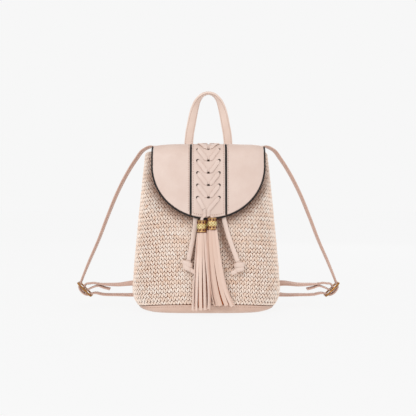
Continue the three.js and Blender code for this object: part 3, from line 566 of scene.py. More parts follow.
def flap_end(x, inset):
    """Where the outline that is inset from the flap's edge ends at a sideways place: half an ellipse."""
    share = np.minimum(np.abs(x) / (FLAP_HALF - inset), 1)
    return ROUND_START + (ROUND_DROP - inset) * np.sqrt(1 - share**2)


def flap_relief(x, along):
    """Lift of the leather's gentle unevenness in metres: 0.3 mm, and up to 1.2 mm over the crown's fold."""
    return ripple(x, along, 0.05, 3) * (0.0003 + 0.0009 * bell(along, FRONT_ARC, 0.03))


# Materials


def linear(code):
    """An sRGB hex colour as linear red, green, blue and alpha."""
    parts = [int(code[i : i + 2], 16) / 255 for i in (1, 3, 5)]
    return (*[p / 12.92 if p <= 0.04045 else ((p + 0.055) / 1.055) ** 2.4 for p in parts], 1.0)


def add(tree, kind, inputs=None, **settings):
    """Adds a node with its settings. inputs maps a socket to a value, a hex colour or an output to link."""
    made = tree.nodes.new(kind)
    for key, value in settings.items():
        setattr(made, key, value)
    for key, value in (inputs or {}).items():
        if isinstance(value, bpy.types.NodeSocket):
            tree.links.new(value, made.inputs[key])
        else:
            made.inputs[key].default_value = linear(value) if isinstance(value, str) else value
    return made


def new_material(name, **sockets):
    """A material with its main shader, whose sockets are set by name, with spaces as underscores."""
    material = bpy.data.materials.new(name)
    material.use_nodes = True
    shader = material.node_tree.nodes["Principled BSDF"]
    for key, value in sockets.items():
        shader.inputs[key.replace("_", " ")].default_value = value
    return material, material.node_tree, shader


def layered(tree, colour, *layers):
    """The colour that comes of laying others over one: each a factor, a colour, and a blend if not MIX."""
    for factor, over, *blend in layers:
        mix = add(
            tree, "ShaderNodeMix", {0: factor, 6: colour, 7: over}, data_type="RGBA",
            blend_type=blend[0] if blend else "MIX",
        )
        colour = mix.outputs[2]
    return colour


def finish_shader(tree, shader, colour, height=None, strength=0.0, distance=0.0):
    """Links a colour to the shader and, if there is a height, its bump of a strength and a distance."""
    tree.links.new(colour, shader.inputs["Base Color"])
    if height:
        bump = add(tree, "ShaderNodeBump", {"Height": height, "Strength": strength, "Distance": distance})
        tree.links.new(bump.outputs[0], shader.inputs["Normal"])


def split_grain_leather(name, light, dark, roughness, streak=False):
    """Split cowhide with a printed grain and a matt top coat: soft highlight, fine pebbles, faint clouds of
    tone, browner where it has painted shade. The pebbles are about twice as coarse as real ones, so that
    they show. With a streak, it is creased along its run and darker by its tone, as straps and strips are."""
    material, tree, shader = new_material(
        name, Roughness=roughness, IOR=1.46, Sheen_Weight=0.12, Sheen_Roughness=0.4
    )
    place = add(tree, "ShaderNodeTexCoord").outputs["Object"]
    clouds, specks, wrinkles = (
        add(tree, "ShaderNodeTexNoise", {"Vector": place, "Scale": scale, "Detail": detail}).outputs["Fac"]
        for scale, detail in ((38.0, 3.0), (420.0, 2.0), (150.0, 4.0))
    )
    cloudy = add(tree, "ShaderNodeMapRange", {0: clouds, 1: 0.35, 2: 0.65, 3: 0.0, 4: 0.75}).outputs[0]
    fleck = add(tree, "ShaderNodeMapRange", {0: specks, 1: 0.3, 2: 0.7, 3: 0.0, 4: 0.35}).outputs[0]
    burnish = add(tree, "ShaderNodeAttribute", attribute_name="burnish").outputs["Fac"]
    # The attribute read above is painted shade, at the crown's fold and where tassel strips face each other
    colour = layered(tree, light, (cloudy, dark), (fleck, dark), (burnish, "#A88672"))
    pebbles = add(
        tree, "ShaderNodeTexVoronoi", {"Vector": place, "Scale": 1 / PEBBLE}, feature="SMOOTH_F1"
    ).outputs["Distance"]
    height = add(tree, "ShaderNodeMath", {0: wrinkles, 1: 1.6}, operation="MULTIPLY").outputs[0]
    height = add(tree, "ShaderNodeMath", {0: pebbles, 1: height}, operation="ADD").outputs[0]
    if streak:
        lay = add(tree, "ShaderNodeAttribute", attribute_name="run").outputs["Vector"]
        lay = add(tree, "ShaderNodeMapping", {"Vector": lay, "Scale": (60.0, 900.0, 900.0)}).outputs[0]
        creases = add(tree, "ShaderNodeTexNoise", {"Vector": lay, "Scale": 1.0, "Detail": 3.0}).outputs["Fac"]
        height = add(tree, "ShaderNodeMath", {0: creases, 1: height}, operation="ADD").outputs[0]
        tone = add(tree, "ShaderNodeAttribute", attribute_name="tone").outputs["Fac"]
        tone = add(tree, "ShaderNodeMath", {0: tone, 1: 0.6}, operation="MULTIPLY").outputs[0]
        colour = layered(tree, colour, (0.5, layered(tree, light, (creases, dark))), (tone, dark))
    finish_shader(tree, shader, colour, height, 0.35, 0.0004)
    return material


def paper_straw():
    """Twisted paper straw: light cream with tan strands, silky streaks along each strand, a dull gloss."""
    material, tree, shader = new_material("paper_straw", Roughness=0.58, IOR=1.48, Sheen_Weight=0.08)
    strand = add(tree, "ShaderNodeAttribute", attribute_name="strand").outputs["Vector"]
    parts = add(tree, "ShaderNodeSeparateXYZ", {0: strand})
    lay = add(tree, "ShaderNodeMapping", {"Vector": strand, "Scale": (90.0, 1.1, 0.0)}).outputs[0]
    streaks = add(tree, "ShaderNodeTexNoise", {"Vector": lay, "Scale": 3.0, "Detail": 2.0}).outputs["Fac"]
    streaky = add(tree, "ShaderNodeMapRange", {0: streaks, 1: 0.4, 2: 0.8, 3: 0.0, 4: 0.34}).outputs[0]
    shade = add(tree, "ShaderNodeAttribute", attribute_name="shade").outputs["Fac"]
    shadow = add(tree, "ShaderNodeAttribute", attribute_name="shadow").outputs["Fac"]
    colour = layered(
        tree, "#FFF5EB", (parts.outputs[2], "#E3AF86"), (streaky, "#D8A078"), (shade, "#AC642A"),
        (shadow, "#8C6650", "MULTIPLY"),
    )
    finish_shader(tree, shader, colour, streaks, 0.6, 0.0003)
    return material


def straw_backing():
    """Woven cotton backing behind the straw, brown in the holes as painted shade, with a plain weave of 1.2 mm
    threads.
    """
    material, tree, shader = new_material("straw_backing", Roughness=0.9, IOR=1.45)
    place = add(tree, "ShaderNodeTexCoord").outputs["Object"]
    bands = {"Vector": place, "Scale": 260.0, "Distortion": 1.0}
    warp, weft = (
        add(tree, "ShaderNodeTexWave", bands, bands_direction=way).outputs["Fac"] for way in ("Z", "DIAGONAL")
    )
    weave = add(tree, "ShaderNodeMath", {0: warp, 1: weft}, operation="MULTIPLY").outputs[0]
    finish_shader(tree, shader, layered(tree, "#84441A", (weave, "#A4622C")), weave, 0.5, 0.0003)
    return material


def black_piping():
    """Coated black piping over a cord: near black with a satin line of light and a fine grain."""
    material, tree, shader = new_material("black_piping", Roughness=0.55, IOR=1.42)
    place = add(tree, "ShaderNodeTexCoord").outputs["Object"]
    grain = add(tree, "ShaderNodeTexNoise", {"Vector": place, "Scale": 900.0, "Detail": 2.0}).outputs["Fac"]
    finish_shader(tree, shader, layered(tree, "#0C0807", (grain, "#1D1513")), grain, 0.3, 0.0002)
    return material


def plated_zinc(name, light, dark, roughness):
    """Cast zinc, tumbled and plated pale gold: bright metal with worn, slightly darker patches."""
    material, tree, shader = new_material(name, Metallic=1.0, Roughness=roughness)
    place = add(tree, "ShaderNodeTexCoord").outputs["Object"]
    wear = add(tree, "ShaderNodeTexNoise", {"Vector": place, "Scale": 260.0, "Detail": 4.0}).outputs["Fac"]
    dull = {0: wear, 1: 0.3, 2: 0.7, 3: roughness - 0.08, 4: roughness + 0.12}
    tree.links.new(add(tree, "ShaderNodeMapRange", dull).outputs[0], shader.inputs["Roughness"])
    finish_shader(tree, shader, layered(tree, light, (wear, dark)), wear, 0.2, 0.0002)
    return material


def garnet_glass():
    """Pressed glass seed beads of a dark garnet red: deep colour under a wet gloss."""
    material, tree, shader = new_material("garnet_glass", Roughness=0.3, IOR=1.45)
    place = add(tree, "ShaderNodeTexCoord").outputs["Object"]
    cloud = add(tree, "ShaderNodeTexNoise", {"Vector": place, "Scale": 700.0}).outputs["Fac"]
    finish_shader(tree, shader, layered(tree, "#3C0806", (cloud, "#6E1712")))
    return material


def waxed_thread(name, light, dark):
    """Waxed polyester sewing thread: matt, with two plies twisted round each other."""
    material, tree, shader = new_material(name, Roughness=0.6, IOR=1.5)
    place = add(tree, "ShaderNodeTexCoord").outputs["Object"]
    bands = {"Vector": place, "Scale": 700.0, "Distortion": 2.0}
    plies = add(tree, "ShaderNodeTexWave", bands, bands_direction="DIAGONAL").outputs["Fac"]
    finish_shader(tree, shader, layered(tree, light, (plies, dark)), plies, 0.4, 0.0001)
    return material


def lit_acrylic():
    """White acrylic of a light table, lit from below: it stays as pale as the sky, under a faint shadow."""
    material, tree, shader = new_material(
        "lit_white_acrylic", Roughness=0.9, Specular_IOR_Level=0.0, Emission_Color=linear("#F7F7F7"),
        Emission_Strength=0.947,
    )
    place = add(tree, "ShaderNodeTexCoord").outputs["Object"]
    clouds = add(tree, "ShaderNodeTexNoise", {"Vector": place, "Scale": 3.0}).outputs["Fac"]
    finish_shader(tree, shader, layered(tree, "#404040", (clouds, "#3E3E3E")))
    return material


FLAP_LEATHER = split_grain_leather("blush_split_leather", "#DDC8BD", "#D5BDB1", 0.5)
HANDLE_LEATHER = split_grain_leather("blush_handle_leather", "#EAD6CA", "#DBC2B4", 0.5, streak=True)
STRAP_LEATHER = split_grain_leather("soft_strap_leather", "#D2B3A4", "#BF9A8A", 0.58, streak=True)
CORD_LEATHER = split_grain_leather("soft_cord_leather", "#EAD6CB", "#D8BFB1", 0.58, streak=True)
TASSEL_LEATHER = split_grain_leather("cut_tassel_leather", "#F6E2D7", "#DABBAA", 0.6, streak=True)
# Dark brown for the tassels' inner strips: painted shade, seen in the gaps between the outer ones
INNER_STRIP_SHADE_LEATHER = split_grain_leather("painted_shade_inner_leather", "#B8683A", "#9A5024", 0.85, streak=True)
BASE_LEATHER = split_grain_leather("blush_base_leather", "#D9BBAA", "#CDAB99", 0.5)
STRAW = paper_straw()
BACKING = straw_backing()
BLACK = black_piping()
GOLD = plated_zinc("pale_gold_plate", "#C08D50", "#80552A", 0.3)
CUFF_GOLD = plated_zinc("cuff_copper_gold_plate", "#DCB882", "#A27646", 0.3)
NET_GOLD = plated_zinc("cuff_lemon_gold_plate", "#FFFCD6", "#EBE08E", 0.3)
GARNET = garnet_glass()
THREAD = waxed_thread("blush_thread", "#AC826B", "#906852")


# Camera


def place_camera():
    """A level camera at the photograph's distance, whose frame shows VIEW_WIDTH across the bag's middle."""
    lens = bpy.data.cameras.new("photograph_camera")
    lens.sensor_width = 36
    lens.lens = lens.sensor_width * abs(CAMERA_AT[1]) / VIEW_WIDTH
    camera = bpy.data.objects.new("photograph_camera", lens)
    camera.location = CAMERA_AT
    camera.rotation_euler = (math.pi / 2, 0, 0)
    bpy.context.scene.collection.objects.link(camera)
    bpy.context.scene.camera = camera


place_camera()


# Drawstring


def knot_piece(side):
    """A knot in the folded strap: two flat turns round the strap's own end, each the tilted ellipse
    x = a cos t, y = b sin t, z = tilt x, over a core, with the cut tail slipping out under the lower one."""
    before, end = (np.array(place) for place in CORD_ROUTES[side][-2:])
    run = unit(end - before)
    lean, tilt = (1, -0.34) if side == "left" else (-1, 0.12)
    middle = end + run * (KNOT / 2 + GAP)
    turn = np.arange(64) * 2 * math.pi / 64
    parts = []
    for half_wide, half_deep, lift, band, slant in (
        (0.0072, 0.0047, 0.0031, 0.0072, tilt),
        (0.0066, 0.0043, -0.0038, 0.0066, tilt * 1.5),
    ):
        x = half_wide * np.cos(turn)
        ring = np.stack([x, half_deep * np.sin(turn), lift + slant * x], axis=1) + middle
        parts.append((*carried(ring, UP, band, 0.0026, sides=12, power=2.8, looped=True), True))
    core = middle + np.outer([0.008, 0.005, 0, -0.005, -0.0075], UP)
    wide = np.array([0.0055, 0.0115, 0.0135, 0.0115, 0.007])
    parts.append((*carried(core, RIGHT, wide, wide * 0.6, sides=12, power=2.2), False))
    slips = ((0, 0, 0), (lean * 0.0056, -0.0025, -0.0066), (lean * 0.0124, -0.003, -0.0104))
    tail = route([middle + slip for slip in slips], 10)
    parts.append((*carried(tail, UP + 0.5 * lean * RIGHT, 0.0066, 0.0028, sides=12, power=3.2), False))
    entry = np.linspace(middle, end + run * GAP, 6)
    parts.append((*carried(entry, RIGHT, *CORD_SECTION, sides=12, power=2.6), False))
    quads, caps, start = [], [], 0
    for rings, _, looped in parts:
        faces, ends = tubes(1, len(rings), 12, looped, start)
        quads.append(faces)
        caps += ends
        start += 12 * len(rings)
    points = np.concatenate([rings.reshape(-1, 3) for rings, _, _ in parts])
    # The knot's tone darkens it against its cord: painted shade among its turns
    values = {"run": np.concatenate([weave for _, weave, _ in parts]), "tone": np.full(start, 0.55)}
    knot = new_piece(f"knot_wrapped_{side}", points, np.concatenate(quads), caps, values)
    return finish_piece(knot, CORD_LEATHER, "strap_leather", f"knot_{side}")


def drawstring_end(side):
    """A free end of the folded leather drawstring, which leaves its buttonhole and hangs to its knot."""
    path = route(CORD_ROUTES[side], 90)
    cord = strap_piece(f"drawstring_cord_{side}", path, RIGHT, *CORD_SECTION, power=2.6)
    finish_piece(cord, CORD_LEATHER, "strap_leather", f"drawstring_end_{side}")
    knot_piece(side)


def drawstring_held():
    """The held part of the drawstring, round inside the channel."""
    inset = STRAW_WALL + CHANNEL_ROOM / 2
    height = BODY_HEIGHT - CHANNEL_DROP * 0.45
    reach = math.radians(11)
    around = body_point(np.linspace(-math.pi / 2 + reach, 1.5 * math.pi - reach, 60), height, inset)
    ends = {}
    for side in CORD_ROUTES:
        leaves, after = (np.array(place) for place in CORD_ROUTES[side][:2])
        back = unit(leaves - after)
        turn = np.array([leaves[0], body_front(height) + inset + GAP, leaves[2] + 0.0085])
        ends[side] = np.stack([leaves + back * GAP, leaves + back * 0.003, turn])
    path = route(np.concatenate([ends["right"], around, ends["left"][::-1]]), 300)
    cord = strap_piece("drawstring_in_channel", path, UP + 0.01, CORD, CORD, sides=12, power=2.2)
    finish_piece(cord, STRAP_LEATHER, "strap_leather", "drawstring")


for name in CORD_ROUTES:
    drawstring_end(name)
drawstring_held()


# Straw body


def wander(rows, count, knots, size):
    """Random values round each row, read smoothly between evenly spaced knots."""
    values = chance.normal(0, size, (len(rows), knots))
    share = np.arange(count) / count
    return np.stack([np.interp(share, np.arange(knots) / knots, row, period=1) for row in values])


def row_waves(rows, count):
    """How far the rows of straw have been pulled up or down round the body: two slow sine waves."""
    share = np.arange(count)[None] / count
    first = 0.0006 * np.sin(2 * math.pi * (3 * share + 0.021 * rows[:, None]))
    return first + 0.0004 * np.sin(2 * math.pi * (7 * share + 0.4 + 0.013 * rows[:, None]))


def flap_shadow(points):
    """Soft darkening of the straw along the flap, as in the photograph. It fades with the distance from the
    half ellipse of the flap's lower edge, as a bell curve, and from the front towards the sides."""
    centre = TIP_Z + ROUND_DROP
    across = (points[..., 0] - FLAP_SHIFT) / FLAP_HALF
    below = np.maximum(centre - points[..., 2], 0) / ROUND_DROP
    past = np.maximum(np.sqrt(across**2 + below**2) - 1, 0)
    return FLAP_SHADOW * bell(past, 0, FLAP_SHADOW_WIDTH) * np.clip(-points[..., 1] / SHADOW_FADE, 0, 1)


def tassel_shadow(points):
    """Soft darkening of the straw in the two gaps between the tassels and the cord's ends: a bell curve
    across each gap, which follows the cord down and fades below its knot."""
    x, y, z = points[..., 0], points[..., 1], points[..., 2]
    shade = 0
    for side, inward in (("left", 1), ("right", -1)):
        cord = np.array(CORD_ROUTES[side])[::-1]
        middle = np.interp(z, cord[:, 2], cord[:, 0]) + inward * TASSEL_SHADOW_INWARD
        fade = 1 / (1 + np.exp((TASSEL_SHADOW_FOOT - z) / TASSEL_SHADOW_SOFTNESS))
        shade = np.maximum(shade, TASSEL_SHADOW * bell(x, middle, TASSEL_SHADOW_WIDTH) * fade)
    return shade * np.clip(-y / SHADOW_FADE, 0, 1)


def strands(name, rows, sideways, up, depth, width, sides, tone, dim):
    """One strand a row, closed round the body: a flat oval section carried along a path on the wall. The path
    is given in stitches sideways, metres up the wall and metres below its face."""
    count = up.shape[1]
    angle = even_angles(sideways / STITCHES_AROUND)
    middle = wall_point(angle, np.maximum(up, 0.0012), depth)
    out = unit(wall_point(angle, up, depth - 0.001) - middle)
    run = tangents(middle, True)
    wide = unit(np.cross(run, out))
    out = np.cross(wide, run)
    around = math.pi / 2 + (np.arange(sides) + 0.5 * (sides % 2 == 0)) * 2 * math.pi / sides
    points = (
        middle[:, :, None]
        + wide[:, :, None] * (np.cos(around)[None, None] * width[:, :, None] / 2)[..., None]
        + out[:, :, None] * (np.sin(around)[None, None, :, None] * STRAND_THICKNESS / 2)
    )
    strand = np.zeros((len(rows), count, sides, 3))
    strand[..., 0] = (np.arange(count) / count * 0.65)[None, :, None] + rows[:, None, None]
    strand[..., 1] = np.cos(around)[None, None]
    strand[..., 2] = np.clip(tone, 0, 1)[..., None]
    under = np.clip(0.12 - 0.6 * np.sin(around), 0, 1)
    under = np.broadcast_to(under + (1 - under) * dim, (len(rows), count, sides))
    shadow = np.maximum(flap_shadow(middle), tassel_shadow(middle))[..., None]
    shadow = np.broadcast_to(shadow, (len(rows), count, sides))
    values = {"strand": strand.reshape(-1, 3), "shade": under.ravel(), "shadow": shadow.ravel()}
    piece = new_piece(name, points, *tubes(len(rows), count, sides, True), values, crease=180)
    finish_piece(piece, STRAW, "straw")


def looped_rows(first, last):
    """Looped strands: t runs 2 pi a stitch, and the strand goes sideways with t, up and down with cos t, and
    in and out with cos 2t. Its legs are broader than its turns, so that the holes open at the turns alone."""
    steps = 8
    count = STITCHES_AROUND * steps
    rows = np.arange(first, last)
    t = np.arange(count) * 2 * math.pi / steps
    legs = STITCHES_AROUND * 2
    sideways = (t / (2 * math.pi) + 0.05 * np.sin(2 * t))[None] + wander(rows, count, legs // 4, 0.03)
    reach = ROW_PITCH * (STITCH_REACH + wander(rows, count, legs, 0.022))
    up = (rows[:, None] + 0.5) * ROW_PITCH + reach * np.cos(t)[None] + row_waves(rows, count)
    depth = STRAND_DEPTH + 0.00034 * np.cos(2 * t)[None] + wander(rows, count, legs, 0.0001)
    width = STRAND_WIDTH * (1 - 0.17 * np.cos(2 * t)[None] + wander(rows, count, legs, 0.08))
    tone = 0.27 + wander(rows, count, legs, 0.12) + chance.normal(0, 0.04, len(rows))[:, None]
    strands(f"straw_loops_{first:02d}", rows, sideways, up, depth, width, 5, tone, 0.0)


def laid_rows(first, last):
    """Laid strands, one a row, which the loops are worked over. Each runs behind the loops' feet, where it
    spreads, and is pinched between them, so that one small brown hole a stitch is left above each loop."""
    steps = 4
    count = STITCHES_AROUND * steps
    rows = np.arange(first, last)
    t = np.arange(count)[None] * 2 * math.pi / steps
    sideways = np.broadcast_to(t / (2 * math.pi), (len(rows), count))
    up = (rows[:, None] + 0.61 + 0.07 * np.cos(t)) * ROW_PITCH + row_waves(rows, count)
    depth = STRAND_DEPTH + 0.0006 + 0 * up
    width = ROW_PITCH * (0.41 - 0.15 * np.cos(t) + wander(rows, count, count // 2, 0.02))
    tone = 0.5 + wander(rows, count, count, 0.1)
    strands(f"straw_laid_{first:02d}", rows, sideways, up, depth, width, 4, tone, 0.1)


def straw_ground():
    """The backing behind the straw: up the wall, over the rim, down the leaf, and back on its inner side."""
    columns = 180
    angles = even_angles(np.arange(columns) / columns)
    leaf_end = BODY_HEIGHT - RIM_RADIUS + math.pi * RIM_RADIUS + CHANNEL_DROP - RIM_RADIUS
    top = leaf_end - SEAM_SIDE
    ups = np.concatenate([np.linspace(0, BODY_HEIGHT - 0.03, 22), np.linspace(BODY_HEIGHT - 0.027, top, 30)])
    inner = np.interp(ups, [BODY_HEIGHT - 0.02, BODY_HEIGHT + 0.01], [STRAW_WALL, CHANNEL_WALL + 0.0002])
    outer_rings = wall_point(angles[None], ups[:, None], 0.75 * inner[:, None])
    inner_rings = wall_point(angles[None], ups[::-1, None], inner[::-1, None])
    rings = np.concatenate([outer_rings, inner_rings])
    piece = new_piece("straw_ground", rings, grid_faces(len(rings), columns, True, True))
    finish_piece(piece, BACKING, "straw", "straw_body")


straw_ground()
for start in range(0, STRAW_ROWS, ROWS_A_PIECE):
    looped_rows(start, start + ROWS_A_PIECE)
laid_rows(0, STRAW_ROWS)


# Leather base


def base_leather():
    """A shallow bowl: rings at shares of the seam's height outside, a rolled top edge, and a flat floor."""
    angles = even_angles(np.arange(240) / 240)
    shares = np.array([1, 0.9, 0.8, 0.68, 0.55, 0.42, 0.3, 0.2, 0.12, 0.06, 0.02])
    seam = seam_height(angles)[None]
    swell = -0.0004 * np.sin(np.clip((1 - shares) / 0.25, 0, 1) * math.pi)[:, None]
    puckers = 0.0003 * np.sin(angles * 61)[None] * bell(shares, 1, 0.3)[:, None]
    outside = body_point(angles[None], seam * shares[:, None], swell + puckers)
    under = [body_point(angles, 0.0 * angles, inset) for inset in (0.001, 0.02, 0.04)]
    floor = [body_point(angles, 0.0 * angles, inset) + (0, 0, STRAW_WALL) for inset in (0.04, 0.02, 0.004)]
    inside = body_point(angles[None], np.maximum(seam * shares[::-1, None], STRAW_WALL), STRAW_WALL)[-7:]
    rings = np.concatenate([np.stack(floor), inside, outside, np.stack(under)])
    piece = new_piece("base_leather", rings, *tubes(1, len(rings), 240))
    finish_piece(piece, BASE_LEATHER, "leather", "base_panel")
    fine = even_angles(np.arange(1200) / 1200)
    height = seam_height(fine) - 0.0028
    line = body_point(fine, height, -0.0001)
    sew("base_seam_stitches", [(line, unit(line - body_point(fine, height, 0.002)))], 0.0032, 0.0007)


base_leather()


# Flap


def edge_spaced(low, high, count, bevel):
    """Places from low to high with extra ones close to each end, for a rounded edge."""
    inner = np.linspace(low + bevel, high - bevel, count)
    near = np.array([0, 0.12, 0.4]) * bevel
    return np.concatenate([low + near, inner, high - near[::-1]])


def edge_drop(distance, radius):
    """How far a face has rounded down at a distance from its edge: a quarter circle."""
    past = np.clip(1 - distance / radius, 0, 1)
    return radius * (1 - np.sqrt(1 - past**2))


def hide(name, x, along, distance, removed=None):
    """A piece of leather between two faces of the flap, with round edges and, where cells are removed,
    punched holes: a wall joins the two faces along each edge that only one kept cell touches."""
    drop = edge_drop(distance, EDGE_RADIUS)
    relief = flap_relief(x, along)
    top = flap_point(x, along, relief - drop)
    bottom = flap_point(x, along, relief * 0.5 + drop - LEATHER)
    rows, columns = x.shape
    kept = np.ones((rows - 1, columns - 1), bool) if removed is None else ~removed
    cells = grid_faces(rows, columns)[kept.ravel()]
    below = rows * columns
    padded = np.pad(kept, 1)
    index = np.arange(rows * columns).reshape(rows, columns)
    upright = padded[1:-1, 1:] != padded[1:-1, :-1]
    first, second = index[:-1][upright], index[1:][upright]
    swapped = padded[1:-1, 1:][upright]
    level = padded[1:, 1:-1] != padded[:-1, 1:-1]
    left, right = index[:, :-1][level], index[:, 1:][level]
    flipped = ~padded[1:, 1:-1][level]
    starts = np.concatenate([np.where(swapped, second, first), np.where(flipped, right, left)])
    ends = np.concatenate([np.where(swapped, first, second), np.where(flipped, left, right)])
    walls = np.stack([ends, starts, starts + below, ends + below], axis=1)
    quads = np.concatenate([cells, cells[:, ::-1] + below, walls[:, ::-1]])
    used, compact = np.unique(quads, return_inverse=True)
    points = np.concatenate([top.reshape(-1, 3), bottom.reshape(-1, 3)])[used]
    # Painted shade along the crown's fold, where the leather turns away from the light
    burnish = PAINTED_CROWN_SHADE * bell(along, FRONT_ARC - PAINTED_CROWN_SHADE_BACK, PAINTED_CROWN_SHADE_WIDTH).ravel()
    return new_piece(name, points, compact.reshape(-1, 4), values={"burnish": np.tile(burnish, 2)[used]})


PANEL_EDGE = SEAM_HALF + PIPING / 2 + GAP
LEATHER_HALF = FLAP_HALF - PIPING - GAP
CENTRE_HALF = SEAM_HALF - PIPING / 2 - GAP


def flap_rows(x, upper, lower):
    """Grid of ways along the flap: even rows over the back and crown, then shares of the way to the end."""
    end = flap_end(x, PIPING + GAP)[None]
    back = np.broadcast_to(edge_spaced(0, FRONT_ARC, upper, 0.001)[:, None], (upper + 6, x.size))[:-3]
    shares = np.linspace(0, 1, lower)[1:, None]
    front = FRONT_ARC + (end - FRONT_ARC - 0.001) * shares
    rim = end - np.array([0.0006, 0.00025, 0.0])[:, None]
    return np.concatenate([back, front, rim])


def side_panel(side):
    """A side panel: columns crowd towards the outer edge, where the flap's outline turns upright."""
    outer, inner = math.radians(88.5), math.asin(PANEL_EDGE / LEATHER_HALF)
    columns = LEATHER_HALF * np.sin(edge_spaced(inner, outer, 40, 0.014))
    columns = np.sort(np.concatenate([columns, PANEL_EDGE + np.array([0.0002, 0.0005, 0.0009])]))
    along = flap_rows(columns, 90, 50)
    x = np.broadcast_to(columns[None], along.shape)
    share = np.clip(1 - (x / LEATHER_HALF) ** 2, 0, 1)
    to_end = (flap_end(x, PIPING + GAP) - along) * np.maximum(np.sqrt(share), 0.15)
    to_side = np.where(along < ROUND_START, LEATHER_HALF - x, 1)
    distance = np.minimum.reduce([x - PANEL_EDGE, to_end, along, to_side])
    name = "left" if side < 0 else "right"
    piece = hide(f"flap_{name}_leather", x * side, along, np.maximum(distance, 0))
    finish_piece(piece, FLAP_LEATHER, "leather", f"flap_{name}_panel")


def lace_row(row):
    """Way along the flap of a row of lace holes."""
    return FLAP_LENGTH - LAST_LACE_ROW - (LACE_ROWS - 1 - row) * LACE_PITCH


def centre_panel():
    """The centre panel, with its grid drawn to each punched hole's outline and the cells inside left out."""
    columns = edge_spaced(-CENTRE_HALF, CENTRE_HALF, 64, 0.0009)
    along = flap_rows(columns, 150, 92).copy()
    x = np.broadcast_to(columns[None], along.shape).copy()
    holes = [(side * LACE_SPREAD / 2, lace_row(row), PUNCH / 2, PUNCH / 2)
             for row in range(LACE_ROWS) for side in (-1, 1)]
    holes += [(0, lace_row(row), PUNCHED_SLOT[0] / 2, PUNCHED_SLOT[1] / 2) for row in range(1, LACE_ROWS)]
    removed = np.zeros((x.shape[0] - 1, x.shape[1] - 1), bool)
    for across, down, half_wide, half_tall in holes:
        u = (x - across) / half_wide
        v = (along - down) / half_tall
        middle_u = (u[1:, 1:] + u[:-1, :-1]) / 2
        middle_v = (v[1:, 1:] + v[:-1, :-1]) / 2
        inside = middle_u**2 + middle_v**2 < 1
        removed |= inside
        near = np.pad(inside, 1)
        corners = np.stack([near[1:, 1:], near[1:, :-1], near[:-1, 1:], near[:-1, :-1]])
        edge = corners.any(axis=0) & ~corners.all(axis=0)
        radius = np.maximum(np.sqrt(u**2 + v**2), 1e-9)
        x = np.where(edge, across + (x - across) / radius, x)
        along = np.where(edge, down + (along - down) / radius, along)
    distance = np.minimum.reduce([CENTRE_HALF - np.abs(x), flap_end(x, PIPING + GAP) - along, along])
    piece = hide("flap_centre_leather", x, along, np.maximum(distance, 0), removed)
    finish_piece(piece, FLAP_LEATHER, "leather", "flap_centre_panel")


def flap_path(x, along, lift):
    """Points of a line on the flap, and the direction out of the leather at each."""
    points = flap_point(x, along, lift + flap_relief(x, along))
    return points, unit(flap_point(x, along, lift + 0.001) - flap_point(x, along, lift))


def flap_stitches():
    """Stitching inside the centre panel's long edges and along its lower edge, and along the side panels."""
    centre, near = CENTRE_HALF - 0.0022, PANEL_EDGE + 0.0018
    lines = []
    for side in (-1, 1):
        for x, short, lift in ((centre, 0.0045, 0.0001), (near, 0.004, 0.0)):
            ways = np.linspace(0.004, flap_end(x, PIPING + GAP) - short, 500)
            lines.append(flap_path(side * x + 0 * ways, ways, lift))
    turns = np.linspace(-1, 1, 300) * math.asin(centre / FLAP_HALF)
    across = FLAP_HALF * np.sin(turns)
    lines.append(flap_path(across, flap_end(across, PIPING + 0.0042), 0.0001))
    hem = np.linspace(-LEATHER_HALF + 0.003, LEATHER_HALF - 0.003, 400)
    for inset in (0.004, 0.009):
        lines.append(flap_path(hem, inset + 0 * hem, 0.0))
    sew("flap_stitches", lines, 0.0036, 0.0008)


def piping():
    """Round piping: circles carried along the flap's outline and its two long seams."""
    side = FLAP_HALF - PIPING / 2
    ways = np.linspace(0, ROUND_START, 220)
    turn = np.radians(np.linspace(-90, 90, 180))[1:-1]
    around = side * np.sin(turn)
    x = np.concatenate([-side + 0 * ways, around, side + 0 * ways])
    along = np.concatenate([ways, flap_end(around, PIPING / 2), ways[::-1]])
    paths = {"edge": (x, along)}
    for name, at in (("left_seam", -SEAM_HALF), ("right_seam", SEAM_HALF)):
        down = np.linspace(0, flap_end(at, PIPING * 1.5 + GAP), 260)
        paths[name] = (at + 0 * down, down)
    for name, (x, along) in paths.items():
        points = flap_point(x, along, -LEATHER / 2)
        out = unit(flap_point(x, along, 0.001) - flap_point(x, along, 0.0))
        across = np.cross(tangents(points), out)
        piece = strap_piece(f"piping_cord_{name}", points, across, PIPING, PIPING, sides=12, power=2.0)
        finish_piece(piece, BLACK, "piping", f"piping_{name}")


side_panel(-1)
side_panel(1)
centre_panel()
flap_stitches()
piping()


# Laces


